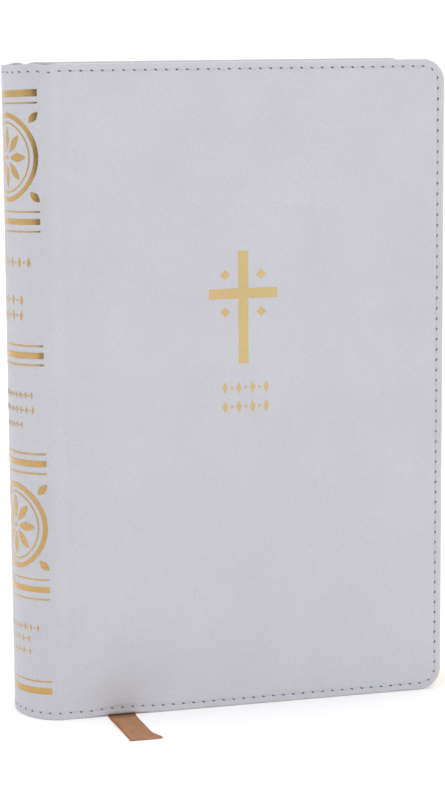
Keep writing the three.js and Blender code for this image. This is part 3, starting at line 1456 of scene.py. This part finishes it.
    def part_of(self, u: float) -> Side | None:
        """Finds the cover that a flat place is on.

        Args:
            u: Distance round the case.

        Returns:
            The cover's side, or None on the spine.
        """
        if abs(u) < self.wrap.quarter:
            return None
        return Side.FRONT if u > 0 else Side.BACK

    def stitch_unit(self) -> Piece:
        """Models one thread between two holes: a flattened bead whose ends dive into the leather.

        Returns:
            The unit.
        """
        Bench.start()
        bpy.ops.mesh.primitive_uv_sphere_add(segments=8, ring_count=6, radius=1)
        unit = Bench.settle("stitch_unit")
        size = self.stitch

        def bead(p: Vector) -> Vector:
            """Lays a ball's point along the bead."""
            return Vector((p.z * size.length, p.y * size.rise + size.dive * abs(p.z) ** 3, p.x * size.width))

        Bench.shape(unit, bead)
        return unit

    def hole_unit(self) -> Piece:
        """Models one needle hole's shadowed mouth, slanted as a needle cuts it.

        Returns:
            The unit.
        """
        Bench.start()
        bpy.ops.mesh.primitive_uv_sphere_add(segments=10, ring_count=4, radius=1)
        unit = Bench.settle("hole_unit")
        slant = Matrix.Rotation(self.stitch.hole_slant, 3, "Y")
        size = Vector(self.stitch.hole)
        Bench.shape(unit, lambda p: slant @ Vector((p.x * size.x, p.z * size.y, p.y * size.z)))
        return unit

    def sew(self) -> list[Piece]:
        """Sews the seam: threads and holes on both faces of the covers and outside the spine.

        Returns:
            The threads and then the holes, each as a front, a back and a spine piece.
        """
        seam = SeamLine(self.wrap).walk()
        middles = []
        for (u0, z0, _), (u1, z1, _) in zip(seam, seam[1:] + seam[:1]):
            middles.append(((u0 + u1) / 2, (z0 + z1) / 2, math.atan2(z1 - z0, u1 - u0)))
        made = []
        kinds = (
            ("threads", self.stitch_unit, middles, self.finishes.thread, self.stitch.stand),
            ("needle_holes", self.hole_unit, seam, self.finishes.hole, self.stitch.hole_stand),
        )
        for word, unit, places, finish, stand in kinds:
            for side in (Side.FRONT, Side.BACK, None):
                rules = self.seam_rules([p for p in places if self.part_of(p[0]) == side], side, stand)
                piece = Bench.scatter((side.word if side else "spine") + "_" + word, unit(), rules)
                Bench.note_places(piece)
                Bench.shape(piece, self.lay_on_stitch)
                Bench.smooth(piece, 80)
                dress(piece, finish)
                if side:
                    self.bend(piece, side)
                else:
                    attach(piece, "binding")
                made.append(piece)
        return made

    @staticmethod
    def seam_rule(place: SeamPlace, base: float, flip: int) -> Rule:
        """Sets a unit at one seam place.

        Args:
            place: The seam place.
            base: The depth of the unit's middle.
            flip: 1 outside, or -1 to turn the unit over on the inside.

        Returns:
            A rule from the unit's point to the flat case.
        """
        u, z, heading = place
        c, s = math.cos(heading), math.sin(heading)

        def rule(p: Vector) -> Vector:
            """Turns a unit's point along the seam and sets it at its place."""
            along, across = p.x, p.z * flip
            return Vector((u + c * along - s * across, base + p.y * flip, z + s * along + c * across))

        return rule

    def seam_rules(self, places: Sequence[SeamPlace], side: Side | None, stand: float) -> list[Rule]:
        """Sets a unit at each seam place, outside and, on the covers, inside too.

        Args:
            places: The seam places.
            side: The cover that they are on, or None on the spine.
            stand: How far the units stand out of the groove.

        Returns:
            A rule for each copy.
        """
        rules = []
        for place in places:
            rules.append(self.seam_rule(place, self.groove - stand, 1))
            if side:
                rules.append(self.seam_rule(place, self.sizes.cover_thickness - self.groove + stand, -1))
        return rules


@dataclass(frozen=True)
class EmblemSizes:
    """The front's plain cross with a lozenge in each angle over two rows, in millimetres."""

    x: float = 2.9
    z: float = 150.0
    half: float = 1.8
    up: float = 15.0
    down: float = 25.0
    arm: float = 12.5
    corner: float = 6.6
    lozenge: float = 3.6
    rows: tuple[Pair, ...] = ((116.4, 4.3), (109.6, 4.5))
    row_right: float = 0.7
    row_half: float = 7.6


@dataclass(frozen=True)
class MedallionSizes:
    """A spine medallion in millimetres: two rings round a rosette, and a leaf off each corner."""

    rings: tuple[Pair, ...] = ((15.45, 1.75), (12.3, 0.6))
    lozenge: float = 2.2
    petals: int = 8
    petal_from: float = 2.3
    petal: Pair = (8.4, 2.9)
    petal_tip: float = 0.45
    corner: Pair = (12.1, 11.8)
    leaf: Pair = (5.0, 2.6)
    leaf_tip: float = 0.55


@dataclass(frozen=True)
class SpineSizes:
    """The spine's layout in millimetres: bars as height and width, rows as height, half and lozenge."""

    middle: float = 4.2
    left: float = -11.8
    right: float = 20.2
    bars: tuple[Pair, ...] = (
        (221.1, 2.5), (217.7, 0.56),
        (180.4, 0.56), (177.0, 2.1), (173.6, 0.56),
        (133.9, 0.56), (130.5, 2.1), (127.2, 0.56),
        (95.8, 0.56), (92.4, 2.1), (88.9, 0.56),
        (50.9, 0.56), (47.3, 2.1), (43.8, 0.56),
        (13.9, 0.56), (10.4, 2.4),
    )
    medallions: Pair = (199.1, 69.6)
    rows: tuple[tuple[float, float, float], ...] = (
        (162.9, 11.1, 3.8), (149.8, 7.3, 3.9), (144.4, 7.0, 3.9),
        (116.5, 10.8, 2.4), (111.2, 11.2, 2.4), (105.8, 5.6, 2.4),
        (33.2, 11.0, 2.8), (29.0, 6.7, 2.8), (24.5, 7.1, 2.8),
    )


@dataclass
class Stamping:
    """Gold foil pressed into the front cover and the spine: plain ornament of bars, rings and leaves.

    A stamp is drawn flat, with u along X and z along Y, and its shapes wait in flats to be pressed.
    """

    sizes: BookSizes
    wrap: Wrap
    case: Case
    finishes: Wardrobe
    emblem: EmblemSizes = EmblemSizes()
    rosette: MedallionSizes = MedallionSizes()
    spine: SpineSizes = SpineSizes()
    film: float = 0.05 * MM
    row_step: float = 0.9 * MM
    stretch: float = 1.03
    tilt: float = 0.033
    pivot: float = 15 * MM
    lean: float = 0.0065
    flats: list[Piece] = field(default_factory=list)

    def keep(self) -> Piece:
        """Takes the active object into the stamp being drawn.

        Returns:
            The object.
        """
        piece = Bench.settle("flat")
        self.flats.append(piece)
        return piece

    def bar(self, u0: float, u1: float, z0: float, z1: float) -> None:
        """Draws an upright rectangle.

        Args:
            u0: Its left edge.
            u1: Its right edge.
            z0: Its low edge.
            z1: Its high edge.
        """
        Bench.start()
        bpy.ops.mesh.primitive_plane_add(size=1, location=((u0 + u1) / 2, (z0 + z1) / 2, 0))
        bpy.context.object.scale = (u1 - u0, z1 - z0, 1)
        self.keep()

    def lozenge(self, u: float, z: float, width: float, height: float) -> None:
        """Draws a lozenge.

        Args:
            u: Its middle round the case.
            z: Its middle's height.
            width: Its width.
            height: Its height.
        """
        Bench.start()
        bpy.ops.mesh.primitive_circle_add(vertices=4, radius=0.5, fill_type="NGON", location=(u, z, 0))
        bpy.context.object.scale = (width, height, 1)
        self.keep()

    def ring(self, u: float, z: float, radius: float, width: float) -> None:
        """Draws a ring: a disc, inset by the ring's width, with its middle taken out.

        Args:
            u: Its middle round the case.
            z: Its middle's height.
            radius: Its outer radius.
            width: How wide its band is.
        """
        Bench.start()
        bpy.ops.mesh.primitive_circle_add(vertices=72, radius=radius, fill_type="NGON")
        piece = self.keep()
        Bench.pick_faces(piece, lambda c, n: True)
        bpy.ops.mesh.inset(thickness=width)
        bpy.ops.mesh.delete(type="FACE")
        Bench.done()
        Bench.shape(piece, lambda p: Vector((p.x * self.stretch + u, p.y + z, 0)))

    def petal(self, root: Pair, size: Pair, heading: float, tip: float) -> None:
        """Draws a leaf.

        Args:
            root: Where its stem starts, as u and z.
            size: Its length and its width.
            heading: Where it points.
            tip: How much its far end narrows, from 0 to 1.
        """
        Bench.start()
        bpy.ops.mesh.primitive_circle_add(vertices=14, radius=1, fill_type="NGON")
        piece = self.keep()
        turn = Matrix.Rotation(heading, 3, "Z")
        length, width = size
        stem, widens, fullness = 0.35, 2.2, 1.25

        def leaf(p: Vector) -> Vector:
            """Carries a disc's point onto the leaf.

            Args:
                p: The disc's point.

            Returns:
                Its place on the stamp.
            """
            along = (p.x + 1) / 2
            narrow = (1 - tip * along**2) * (stem + (1 - stem) * min(1.0, along * widens))
            out = turn @ Vector((along * length, p.y * width / 2 * narrow * fullness, 0))
            return Vector((root[0] + out.x, root[1] + out.y, 0))

        Bench.shape(piece, leaf)

    def press(self, name: str, foil_finish: Material) -> Piece:
        """Joins what was drawn, gives it its thickness and lays it on the case.

        Args:
            name: The stamp's name.
            foil_finish: Its foil.

        Returns:
            The finished foil.
        """
        foil = Bench.join(name, self.flats)
        self.flats = []
        low = min(v.co.x for v in foil.data.vertices)
        high = max(v.co.x for v in foil.data.vertices)
        Bench.slice(foil, 0, spread(low, high, self.row_step))
        Bench.thicken(foil, self.film)
        Bench.shape(foil, lambda p: Vector((p.x, -p.z, p.y)))
        Bench.note_places(foil)
        Bench.shape(foil, self.on_skin)
        Bench.face_out(foil)
        Bench.smooth(foil, 35)
        dress(foil, foil_finish)
        return foil

    def on_skin(self, p: Vector) -> Vector:
        """Carries a stamp's flat point onto the skin, following its hollows.

        Args:
            p: The flat point.

        Returns:
            The place in the frame's axes.
        """
        u, depth, z = p
        fall = 0.0
        if u < self.wrap.quarter:
            fall = self.tilt * (u - self.pivot)
            u += self.lean * (self.sizes.height - z)
        return self.wrap.place(u, depth + self.case.relax(u, z), z + fall + self.case.edge_drop(u, z))

    def front_emblem(self) -> Piece:
        """A plain cross with a lozenge in each angle, over two short rows of lozenges.

        Returns:
            The pressed foil.
        """
        e = self.emblem
        u0, z0, half, corner = self.wrap.u_of(e.x * MM, Side.FRONT), e.z * MM, e.half * MM, e.corner * MM
        self.bar(u0 - half, u0 + half, z0 - e.down * MM, z0 + e.up * MM)
        for side in (-1, 1):
            inner, outer = sorted((u0 + side * half, u0 + side * e.arm * MM))
            self.bar(inner, outer, z0 - half, z0 + half)
            for rise in (-1, 1):
                self.lozenge(u0 + side * corner, z0 + rise * corner, e.lozenge * MM, e.lozenge * MM)
        for level, height in e.rows:
            self.row(u0 + e.row_right * MM, level * MM, e.row_half * MM, height * MM)
        return self.press("front_emblem", self.finishes.foil)

    def medallion(self, u0: float, z0: float) -> None:
        """Two rings round a plain rosette of eight petals, with a single leaf outside each corner.

        Args:
            u0: The medallion's middle round the case.
            z0: Its height.
        """
        m = self.rosette
        petal = (m.petal[0] * MM, m.petal[1] * MM)
        leaf = (m.leaf[0] * MM, m.leaf[1] * MM)
        for radius, width in m.rings:
            self.ring(u0, z0, radius * MM, width * MM)
        self.lozenge(u0, z0, m.lozenge * MM, m.lozenge * MM)
        for i in range(m.petals):
            a = 2 * math.pi * i / m.petals
            u = u0 + m.petal_from * MM * self.stretch * math.cos(a)
            self.petal((u, z0 + m.petal_from * MM * math.sin(a)), petal, a, m.petal_tip)
        for side in (-1, 1):
            for rise in (-1, 1):
                root = (u0 + side * m.corner[0] * self.stretch * MM, z0 + rise * m.corner[1] * MM)
                self.petal(root, leaf, math.atan2(rise, side), m.leaf_tip)

    def row(self, u0: float, z: float, half: float, height: float) -> None:
        """Draws a short row of lozenges and dots by turns, with a lozenge at each end.

        Args:
            u0: The row's middle round the case.
            z: Its height.
            half: Half its length.
            height: A lozenge's height.
        """
        pitch_share, dot_share, width_share = 0.58, 0.3, 0.46
        steps = round(half / (height * pitch_share))
        for i in range(-steps, steps + 1):
            size = height if (steps - i) % 2 == 0 else height * dot_share
            self.lozenge(u0 + i * half / steps, z, min(size, height * width_share), size)

    def spine_ornament(self) -> Piece:
        """Bars, two medallions and rows of lozenges down the spine.

        Returns:
            The pressed foil.
        """
        s = self.spine
        for z, thick in s.bars:
            self.bar(s.left * MM, s.right * MM, (z - thick / 2) * MM, (z + thick / 2) * MM)
        for z in s.medallions:
            self.medallion(s.middle * MM, z * MM)
        for z, half, height in s.rows:
            self.row(s.middle * MM, z * MM, half * MM, height * MM)
        return self.press("spine_ornament", self.finishes.spine_foil)

    def make(self) -> list[Piece]:
        """Presses both stamps and puts them on their bodies.

        Returns:
            The two foils.
        """
        emblem, ornament = self.front_emblem(), self.spine_ornament()
        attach(emblem, "front_cover")
        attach(ornament, "binding")
        return [emblem, ornament]


@dataclass
class TextBlock:
    """The leaves: eight sewn sections with gilt edges, the flyleaves and the glued-down endpapers."""

    sizes: BookSizes
    case: Case
    finishes: Wardrobe
    section_count: int = 8
    turning: int = 3
    leaf_corner: float = 5 * MM
    hollow: float = 4 * MM
    stir: float = 0.10 * MM
    stir_rate: float = 9200.0
    bow_rate: float = 5300.0
    gutter: float = 34 * MM
    gutter_row: float = 1.5 * MM
    far_row: float = 12 * MM
    height_row: float = 45 * MM
    depth_row: float = 0.5 * MM
    slot: float = 0.2 * MM
    clear: float = 0.01 * MM

    def slab(self, name: str, node: str, swell: Pair = (0, 0)) -> Piece:
        """Models a slab the size of a node, with round fore-edge corners and rows to bend along.

        Args:
            name: The slab's name.
            node: The node whose place it takes.
            swell: How far its low and its high face move along Y.

        Returns:
            The slab.
        """
        low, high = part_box(node)
        low = Vector((self.sizes.hinge_x + 2 * self.clear, low.y + swell[0], low.z))
        high.y += swell[1]
        piece = Bench.block(name, low, (self.sizes.page_fore_x, high.y, high.z))
        far = self.sizes.page_fore_x - self.clear
        self.round_fore_edge(piece, far)
        near = spread(low.x, low.x + self.gutter, self.gutter_row)
        Bench.slice(piece, 0, [*near, *spread(low.x + self.gutter, far - self.leaf_corner, self.far_row)])
        Bench.slice(piece, 2, spread(low.z, high.z, self.height_row))
        return piece

    def round_fore_edge(self, piece: Piece, far: float) -> None:
        """Rounds the two corners of leaves at their fore edge.

        Args:
            piece: The leaves.
            far: The x beyond which an edge is at the fore edge.
        """
        Bench.round_edges(
            piece, lambda a, b: min(a.x, b.x) > far and abs(a.z - b.z) < SAME, self.leaf_corner, 6
        )

    def gathered(self, number: int) -> Rule:
        """Gathers a section's leaves, with a hollow fore edge and ends that aren't quite even.

        Args:
            number: The section's place from the front.

        Returns:
            A rule from a slab's point to the section's.
        """
        s = self.sizes
        length, middle = s.page_fore_x - s.hinge_x, s.height / 2

        def gather(p: Vector) -> Vector:
            """Moves a slab's point to its place in the section.

            Args:
                p: The slab's point.

            Returns:
                Its place in the section.
            """
            far = (p.x - s.hinge_x) / length
            back = self.hollow * (1 - (p.y / s.block_y) ** 2) * ease(far * 6 - 5)
            stir = self.stir * math.sin(p.y * self.stir_rate + number) * ease(far * 8 - 7)
            bow = self.stir * math.sin(p.y * self.bow_rate + 2 * number)
            ends = bow if abs(p.z - middle) > 0.45 * (s.page_high - s.page_low) else 0
            return Vector((p.x - back - abs(stir), p.y, p.z - math.copysign(abs(ends), p.z - middle)))

        return gather

    def section(self, number: int) -> Piece:
        """Models one section: gathered leaves, a hollow fore edge and gilt on three sides.

        Args:
            number: The section's place from the front, from 1.

        Returns:
            The finished section.
        """
        node = f"page_section_{number}"
        swell = {self.turning: (0, self.slot), self.turning + 1: (-self.slot, 0)}.get(number, (0, 0))
        piece = self.slab(f"leaves_{number}", node, swell)
        low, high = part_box(node)
        Bench.slice(piece, 1, spread(low.y, high.y, self.depth_row))
        Bench.shape(piece, self.gathered(number))
        Bench.note_places(piece)
        Bench.smooth(piece, 30)
        dress(piece, self.finishes.gilt, self.finishes.page)
        for face in piece.data.polygons:
            face.material_index = 1 if abs(face.normal.y) > 0.9 else 0
        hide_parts(node)
        if self.turning < number <= self.section_count - self.turning:
            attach(piece, "binding")
        else:
            self.turn(piece, node, high.y if number > self.turning else low.y)
        return piece

    def turn(self, piece: Piece, body: str, y: float) -> None:
        """Bakes the leaves' place into their mesh.

        Args:
            piece: The leaves.
            body: The node that the leaves stand for; not used.
            y: A place through the book at one face of the leaves; not used.
        """
        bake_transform(piece)

    def flyleaf(self, side: Side) -> Piece:
        """Models a free endpaper.

        Args:
            side: The cover that it faces.

        Returns:
            The endpaper.
        """
        node = side.word + "_flyleaf"
        piece = self.slab(side.word + "_free_endpaper", node)
        Bench.note_places(piece)
        Bench.smooth(piece, 30)
        dress(piece, self.finishes.endpaper)
        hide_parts(node)
        low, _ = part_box(node)
        self.turn(piece, node, low.y)
        return piece

    def pastedown(self, side: Side) -> Piece:
        """Models the glued-down endpaper, which runs on across the hinge to the leaves.

        Args:
            side: Its cover.

        Returns:
            The endpaper.
        """
        node = side.word + "_pastedown"
        low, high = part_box(node)
        x, strip, row = self.sizes.hinge_x, 8 * MM, 0.5 * MM
        piece = Bench.block(side.word + "_lining_paper", (x, low.y, low.z), high)
        self.round_fore_edge(piece, high.x - self.clear)
        Bench.slice(piece, 0, spread(x, x + strip, row))
        Bench.note_places(piece)
        Bench.smooth(piece, 30)
        dress(piece, self.finishes.endpaper)
        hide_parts(node)
        self.case.bend(piece, side)
        return piece

    def make(self) -> list[Piece]:
        """Makes every section and endpaper.

        Returns:
            The sections from the front, then the endpapers.
        """
        made = [self.section(n) for n in range(1, self.section_count + 1)]
        for side in Side:
            made += [self.flyleaf(side), self.pastedown(side)]
        return made


@dataclass
class Bands:
    """The silk bands at the head and tail of the sewn back."""

    finishes: Wardrobe
    steps: int = 72
    ring: int = 10
    winding: float = 0.07
    tuck: float = 0.6
    draw_in: float = 0.4
    slack: float = 1.2

    def band(self, node: str) -> Piece:
        """Models one band: a roll that follows the back's rounding, with small windings.

        Args:
            node: The node that the band stands for.

        Returns:
            The band.
        """
        low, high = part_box(node)
        radius, middle = (high.z - low.z) / 2, (low.z + high.z) / 2
        depth, half = high.x - low.x - radius, (high.y - low.y) / 2 - radius * self.tuck
        Bench.start()
        bpy.ops.mesh.primitive_cylinder_add(vertices=self.ring, radius=radius, depth=1)
        roll = Bench.settle(node + "_silk")
        Bench.slice(roll, 2, spread(-0.5, 0.5, 1 / self.steps))
        length = 2 * half * self.slack
        Bench.note_places(roll, lambda p: Vector((p.z * length, p.x, p.y)))

        def follow(p: Vector) -> Vector:
            """Carries a straight roll's point round the back.

            Args:
                p: The roll's point.

            Returns:
                Its place on the band.
            """
            a = p.z * 2 * SQUARE
            swell = 1 + self.winding * math.sin(p.z * self.steps * math.pi)
            out = Vector((-math.cos(a), math.sin(a)))
            x = high.x - radius * self.tuck + out.x * (depth - radius * self.draw_in) + out.x * p.x * swell
            y = out.y * half + out.y * p.x * swell
            return Vector((x, y, middle + p.y * swell))

        Bench.shape(roll, follow)
        Bench.face_out(roll)
        Bench.smooth(roll, 60)
        dress(roll, self.finishes.band)
        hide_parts(node)
        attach(roll, "binding")
        return roll

    def make(self) -> list[Piece]:
        """Makes both bands."""
        return [self.band("head_band"), self.band("tail_band")]


@dataclass
class Ribbon:
    """The satin marker: it slants down between the leaves and runs out under the front cover."""

    sizes: BookSizes
    finishes: Wardrobe
    width: float = 10 * MM
    thickness: float = 0.28 * MM
    head_x: float = -57 * MM
    tail_x: float = -43 * MM
    reach_y: float = -50.3 * MM
    lying_z: float = 0.2 * MM
    head_steps: int = 12
    foot_bend: tuple[Pair, ...] = (
        (0.1, 1.9), (0.45, 1.0), (1.15, 0.42), (2.2, 0.24), (3.6, 0.2), (6.0, 0.2), (10.0, 0.2)
    )
    lying_steps: tuple[float, ...] = (0, 6, 12, 18, 24)
    wave: float = 0.3 * MM
    corner_lift: float = 0.25 * MM
    flare: float = 1.5 * MM
    waist: float = 0.55 * MM
    drift: float = 0.9 * MM
    drift_run: float = 32 * MM
    nip: float = 0.35 * MM
    nip_run: float = 4 * MM
    slack: float = 20 * MM
    far_row: float = 12 * MM
    near_row: float = 0.8 * MM
    width_row: float = 1.0 * MM

    def route(self) -> list[Vector]:
        """Lays out the marker's middle line.

        Returns:
            The points from its glued head to its cut end.
        """
        y, face = self.sizes.ribbon_y, self.sizes.face_y
        low, high = self.sizes.page_low, self.sizes.page_high
        points = []
        for i in range(self.head_steps + 1):
            t = i / self.head_steps
            x = self.head_x + (self.tail_x - self.head_x) * t
            points.append(Vector((x, y, high + (low - high) * t)))
        for back, z in self.foot_bend:
            points.append(Vector((self.tail_x, y - back * MM, z * MM)))
        for out in self.lying_steps:
            points.append(Vector((self.tail_x, -face - out * MM, self.lying_z)))
        points.append(Vector((self.tail_x, self.reach_y, self.lying_z)))
        return points

    def free_share(self, y: float) -> float:
        """How far along the free end a place is, from 0 at the cover to 1 at the cut."""
        return max(0.0, (-self.sizes.face_y - y) / (-self.sizes.face_y - self.reach_y))

    def tail_curl(self, y: float, across: float) -> float:
        """Finds how high the free end lifts off the ground: a low wave and one slightly curled corner.

        Args:
            y: The place along the free end.
            across: The place across it, from -1 to 1.

        Returns:
            The lift.
        """
        out = self.free_share(y)
        wave = self.wave * ease(out * 2.2) * (0.5 + 0.5 * math.sin(out * 7 - 1.2))
        return wave + self.corner_lift * ease(out * 2.4 - 1.4) * ease((across + 0.4) / 1.4)

    def edge_shift(self, y: float, across: float) -> float:
        """Finds how far the right edge draws in along the free end and then flares at the cut.

        Args:
            y: The place along the free end.
            across: The place across it, from -1 to 1.

        Returns:
            The move along X.
        """
        out = self.free_share(y)
        shift = self.flare * ease(out * 4 - 3) - self.waist * math.sin(math.pi * min(out, 1.0))
        return shift * ease((across + 0.5) / 1.5)

    def laid(self, route: Sequence[Vector], marks: Sequence[float], gaps: Sequence[float]) -> Rule:
        """Lays a straight strip along the route, with the free end's own drift, flare and lift.

        Args:
            route: The route's points.
            marks: How far along the route each of them is.
            gaps: How far apart they are.

        Returns:
            A rule from the strip's point to its place.
        """
        last, face = len(route) - 1, -self.sizes.face_y

        def lay(p: Vector) -> Vector:
            """Carries a strip's point onto the route.

            Args:
                p: The strip's point.

            Returns:
                Its place on the ribbon.
            """
            i = min(max(bisect.bisect_right(marks, p.y), 1), last)
            t = (p.y - marks[i - 1]) / gaps[i - 1]
            if t > 0.5:
                ahead = route[min(i + 1, last)] - route[i - 1]
            else:
                ahead = route[i] - route[max(i - 2, 0)]
            up = Vector((1, 0, 0)).cross(Vector((0, ahead.y, ahead.z))).normalized()
            place = route[i - 1].lerp(route[i], t) + Vector((p.x, 0, 0)) + up * (p.z - self.thickness / 2)
            drift = self.drift * ease((face - place.y) / self.drift_run)
            nip = self.nip * ease((face + self.nip_run / 2 - place.y) / self.nip_run)
            across = p.x / (self.width / 2)
            place.x += drift - nip
            place.x += self.edge_shift(place.y, across)
            place.z += self.tail_curl(place.y, across)
            return place

        return lay

    def make(self) -> Piece:
        """Models the marker as a thin strip laid along its route.

        Returns:
            The ribbon.
        """
        route = self.route()
        gaps = [(b - a).length for a, b in zip(route, route[1:])]
        marks = [sum(gaps[:i]) for i in range(len(route))]
        total = marks[-1]
        half = self.width / 2
        strip = Bench.block("ribbon", (-half, 0, 0), (half, total, self.thickness))
        Bench.round_edges(strip, along_y, self.thickness * 0.3, 2)
        free = total - (-self.sizes.face_y - self.reach_y) - self.slack
        rows = [*spread(0, free, self.far_row), free, *spread(free, total, self.near_row)]
        Bench.slice(strip, 1, rows)
        Bench.slice(strip, 0, spread(-half, half, self.width_row))
        Bench.note_places(strip)
        Bench.shape(strip, self.laid(route, marks, gaps))
        Bench.face_out(strip)
        Bench.smooth(strip, 50)
        dress(strip, self.finishes.satin)
        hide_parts("ribbon_marker", "ribbon_tail")
        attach(strip, "binding")
        tuple(route[0])
        [tuple(p) for p in route]
        return strip


@dataclass
class Studio:
    """A pale floor, soft light and the camera."""

    place: tuple[float, float, float] = (-0.2252, -0.8195, 0.2445)
    turn: float = math.radians(15.38)
    tilt: float = math.radians(9.05)
    roll: float = math.radians(-0.45)
    lens: float = 106.8
    sensor: float = 36.0
    dark_end: Colour = (-0.62, -0.78, -0.03)
    dark_from: float = math.radians(56)
    dark_full: float = math.radians(9)
    dimming: float = 0.72
    room_light: float = 0.75
    backdrop: float = 1.05
    floor_glow: float = 0.08
    overhead: float = 0.85
    aim: tuple[float, float, float] = (0.0, 0.0, 0.115)

    def camera(self) -> None:
        """Sets the camera where the book is seen from its front and spine, a little above."""
        data = bpy.data.cameras.new("camera")
        data.lens, data.sensor_width = self.lens, self.sensor
        camera = bpy.data.objects.new("camera", data)
        bpy.context.scene.collection.objects.link(camera)
        aim = Matrix.Rotation(-self.turn, 4, "Z") @ Matrix.Rotation(math.pi / 2 - self.tilt, 4, "X")
        camera.matrix_world = Matrix.Translation(self.place) @ aim @ Matrix.Rotation(self.roll, 4, "Z")
        bpy.context.scene.camera = camera

    def floor(self) -> None:
        """Lays a wide pale floor at the level that the book stands on."""
        Bench.start()
        bpy.ops.mesh.primitive_circle_add(vertices=64, radius=60, fill_type="NGON")
        floor = Bench.settle("floor")
        paint = bpy.data.materials.new("Pale floor")
        paint.use_nodes = True
        shader = paint.node_tree.nodes["Principled BSDF"]
        shader.inputs["Base Color"].default_value = (0.93, 0.93, 0.93, 1)
        shader.inputs["Roughness"].default_value = 0.9
        shader.inputs["Specular IOR Level"].default_value = 0.1
        shader.inputs["Emission Color"].default_value = (1, 1, 1, 1)
        shader.inputs["Emission Strength"].default_value = self.floor_glow
        dress(floor, paint)

    def lamp(self, name: str, place: tuple[float, float, float], size: float, power: float) -> None:
        """Hangs a square soft light that faces the book's middle.

        Args:
            name: The light's name.
            place: Where it hangs.
            size: The length of its side.
            power: Its power in watts.
        """
        data = bpy.data.lights.new(name, "AREA")
        data.size, data.energy = size, power
        lamp = bpy.data.objects.new(name, data)
        bpy.context.scene.collection.objects.link(lamp)
        aim = Vector(self.aim) - Vector(place)
        lamp.location = place
        lamp.rotation_euler = aim.to_track_quat("-Z", "Y").to_euler()

    def light(self) -> None:
        """Fills the room with soft white light, dimmer where the dark end of the room is mirrored."""
        scene = bpy.context.scene
        scene.view_settings.view_transform = "Standard"
        world = bpy.data.worlds.new("studio")
        scene.world = world
        world.use_nodes = True
        room = Nodes(world.node_tree)
        sky = world.node_tree.nodes["Background"]
        sky.inputs["Color"].default_value = (1.0, 1.0, 1.0, 1)
        facing = room.add("VectorMath", operation="DOT_PRODUCT")
        room.link(room.add("TexCoord").outputs["Generated"], facing.inputs[0])
        facing.inputs[1].default_value = self.dark_end
        near, far = math.cos(self.dark_full), math.cos(self.dark_from)
        dim = room.math("MULTIPLY", room.ramp(facing.outputs["Value"], far, near), self.dimming)
        _, _, height = room.split(room.add("TexCoord").outputs["Generated"])
        above = room.math("MAXIMUM", height, 0.0)
        over = room.math("MULTIPLY", room.math("MULTIPLY", above, above), self.overhead)
        soft = room.math("SUBTRACT", room.math("ADD", over, self.room_light), dim)
        seen = room.math("MULTIPLY", room.add("LightPath").outputs["Is Camera Ray"], self.backdrop)
        room.link(room.math("MAXIMUM", soft, seen), sky.inputs["Strength"])
        self.lamp("key", place=(0.55, -2.0, 0.75), size=1.6, power=4)
        self.lamp("left", place=(-2.0, 0.6, 0.9), size=1.4, power=2)
        self.lamp("top", place=(0.0, 0.1, 2.0), size=2.2, power=6)

    def make(self) -> None:
        """Sets up camera, floor and light."""
        self.camera()
        self.floor()
        self.light()


def dress_inner_nodes(finishes: Wardrobe) -> None:
    """Gives the inner nodes that stay as they are their own finishes.

    Args:
        finishes: The finishes.
    """
    kept = {
        "front_cover_board": finishes.card,
        "back_cover_board": finishes.card,
        "spine_inlay": finishes.card,
        "sewn_back": finishes.folds,
        "mull_cloth": finishes.mull,
        "spine_lining": finishes.lining,
    }
    for node, material in kept.items():
        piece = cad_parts[node]
        slots = piece.material_slots
        for slot in slots:
            slot.link = "OBJECT"
            slot.material = material
        if not slots:
            piece.data.materials.append(material)
        LOG.info("dressed %s with %s", node, material.name)


def main() -> None:
    """Builds the studio, then every sub-assembly, and logs each piece."""
    logging.basicConfig(level=logging.INFO, format="%(name)s: %(message)s")
    Studio().make()
    finishes = Wardrobe()
    sizes = BookSizes.from_frame()
    wrap = Wrap(sizes)
    case = Case(sizes, wrap, finishes)
    made = [Ribbon(sizes, finishes).make()]
    made += case.skins()
    made += case.sew()
    made += Stamping(sizes, wrap, case, finishes).make()
    made += TextBlock(sizes, case, finishes).make()
    made += Bands(finishes).make()
    for piece in made:
        LOG.info("made %s with %d faces", piece.name, len(piece.data.polygons))
    dress_inner_nodes(finishes)


if __name__ == "__main__":
    main()
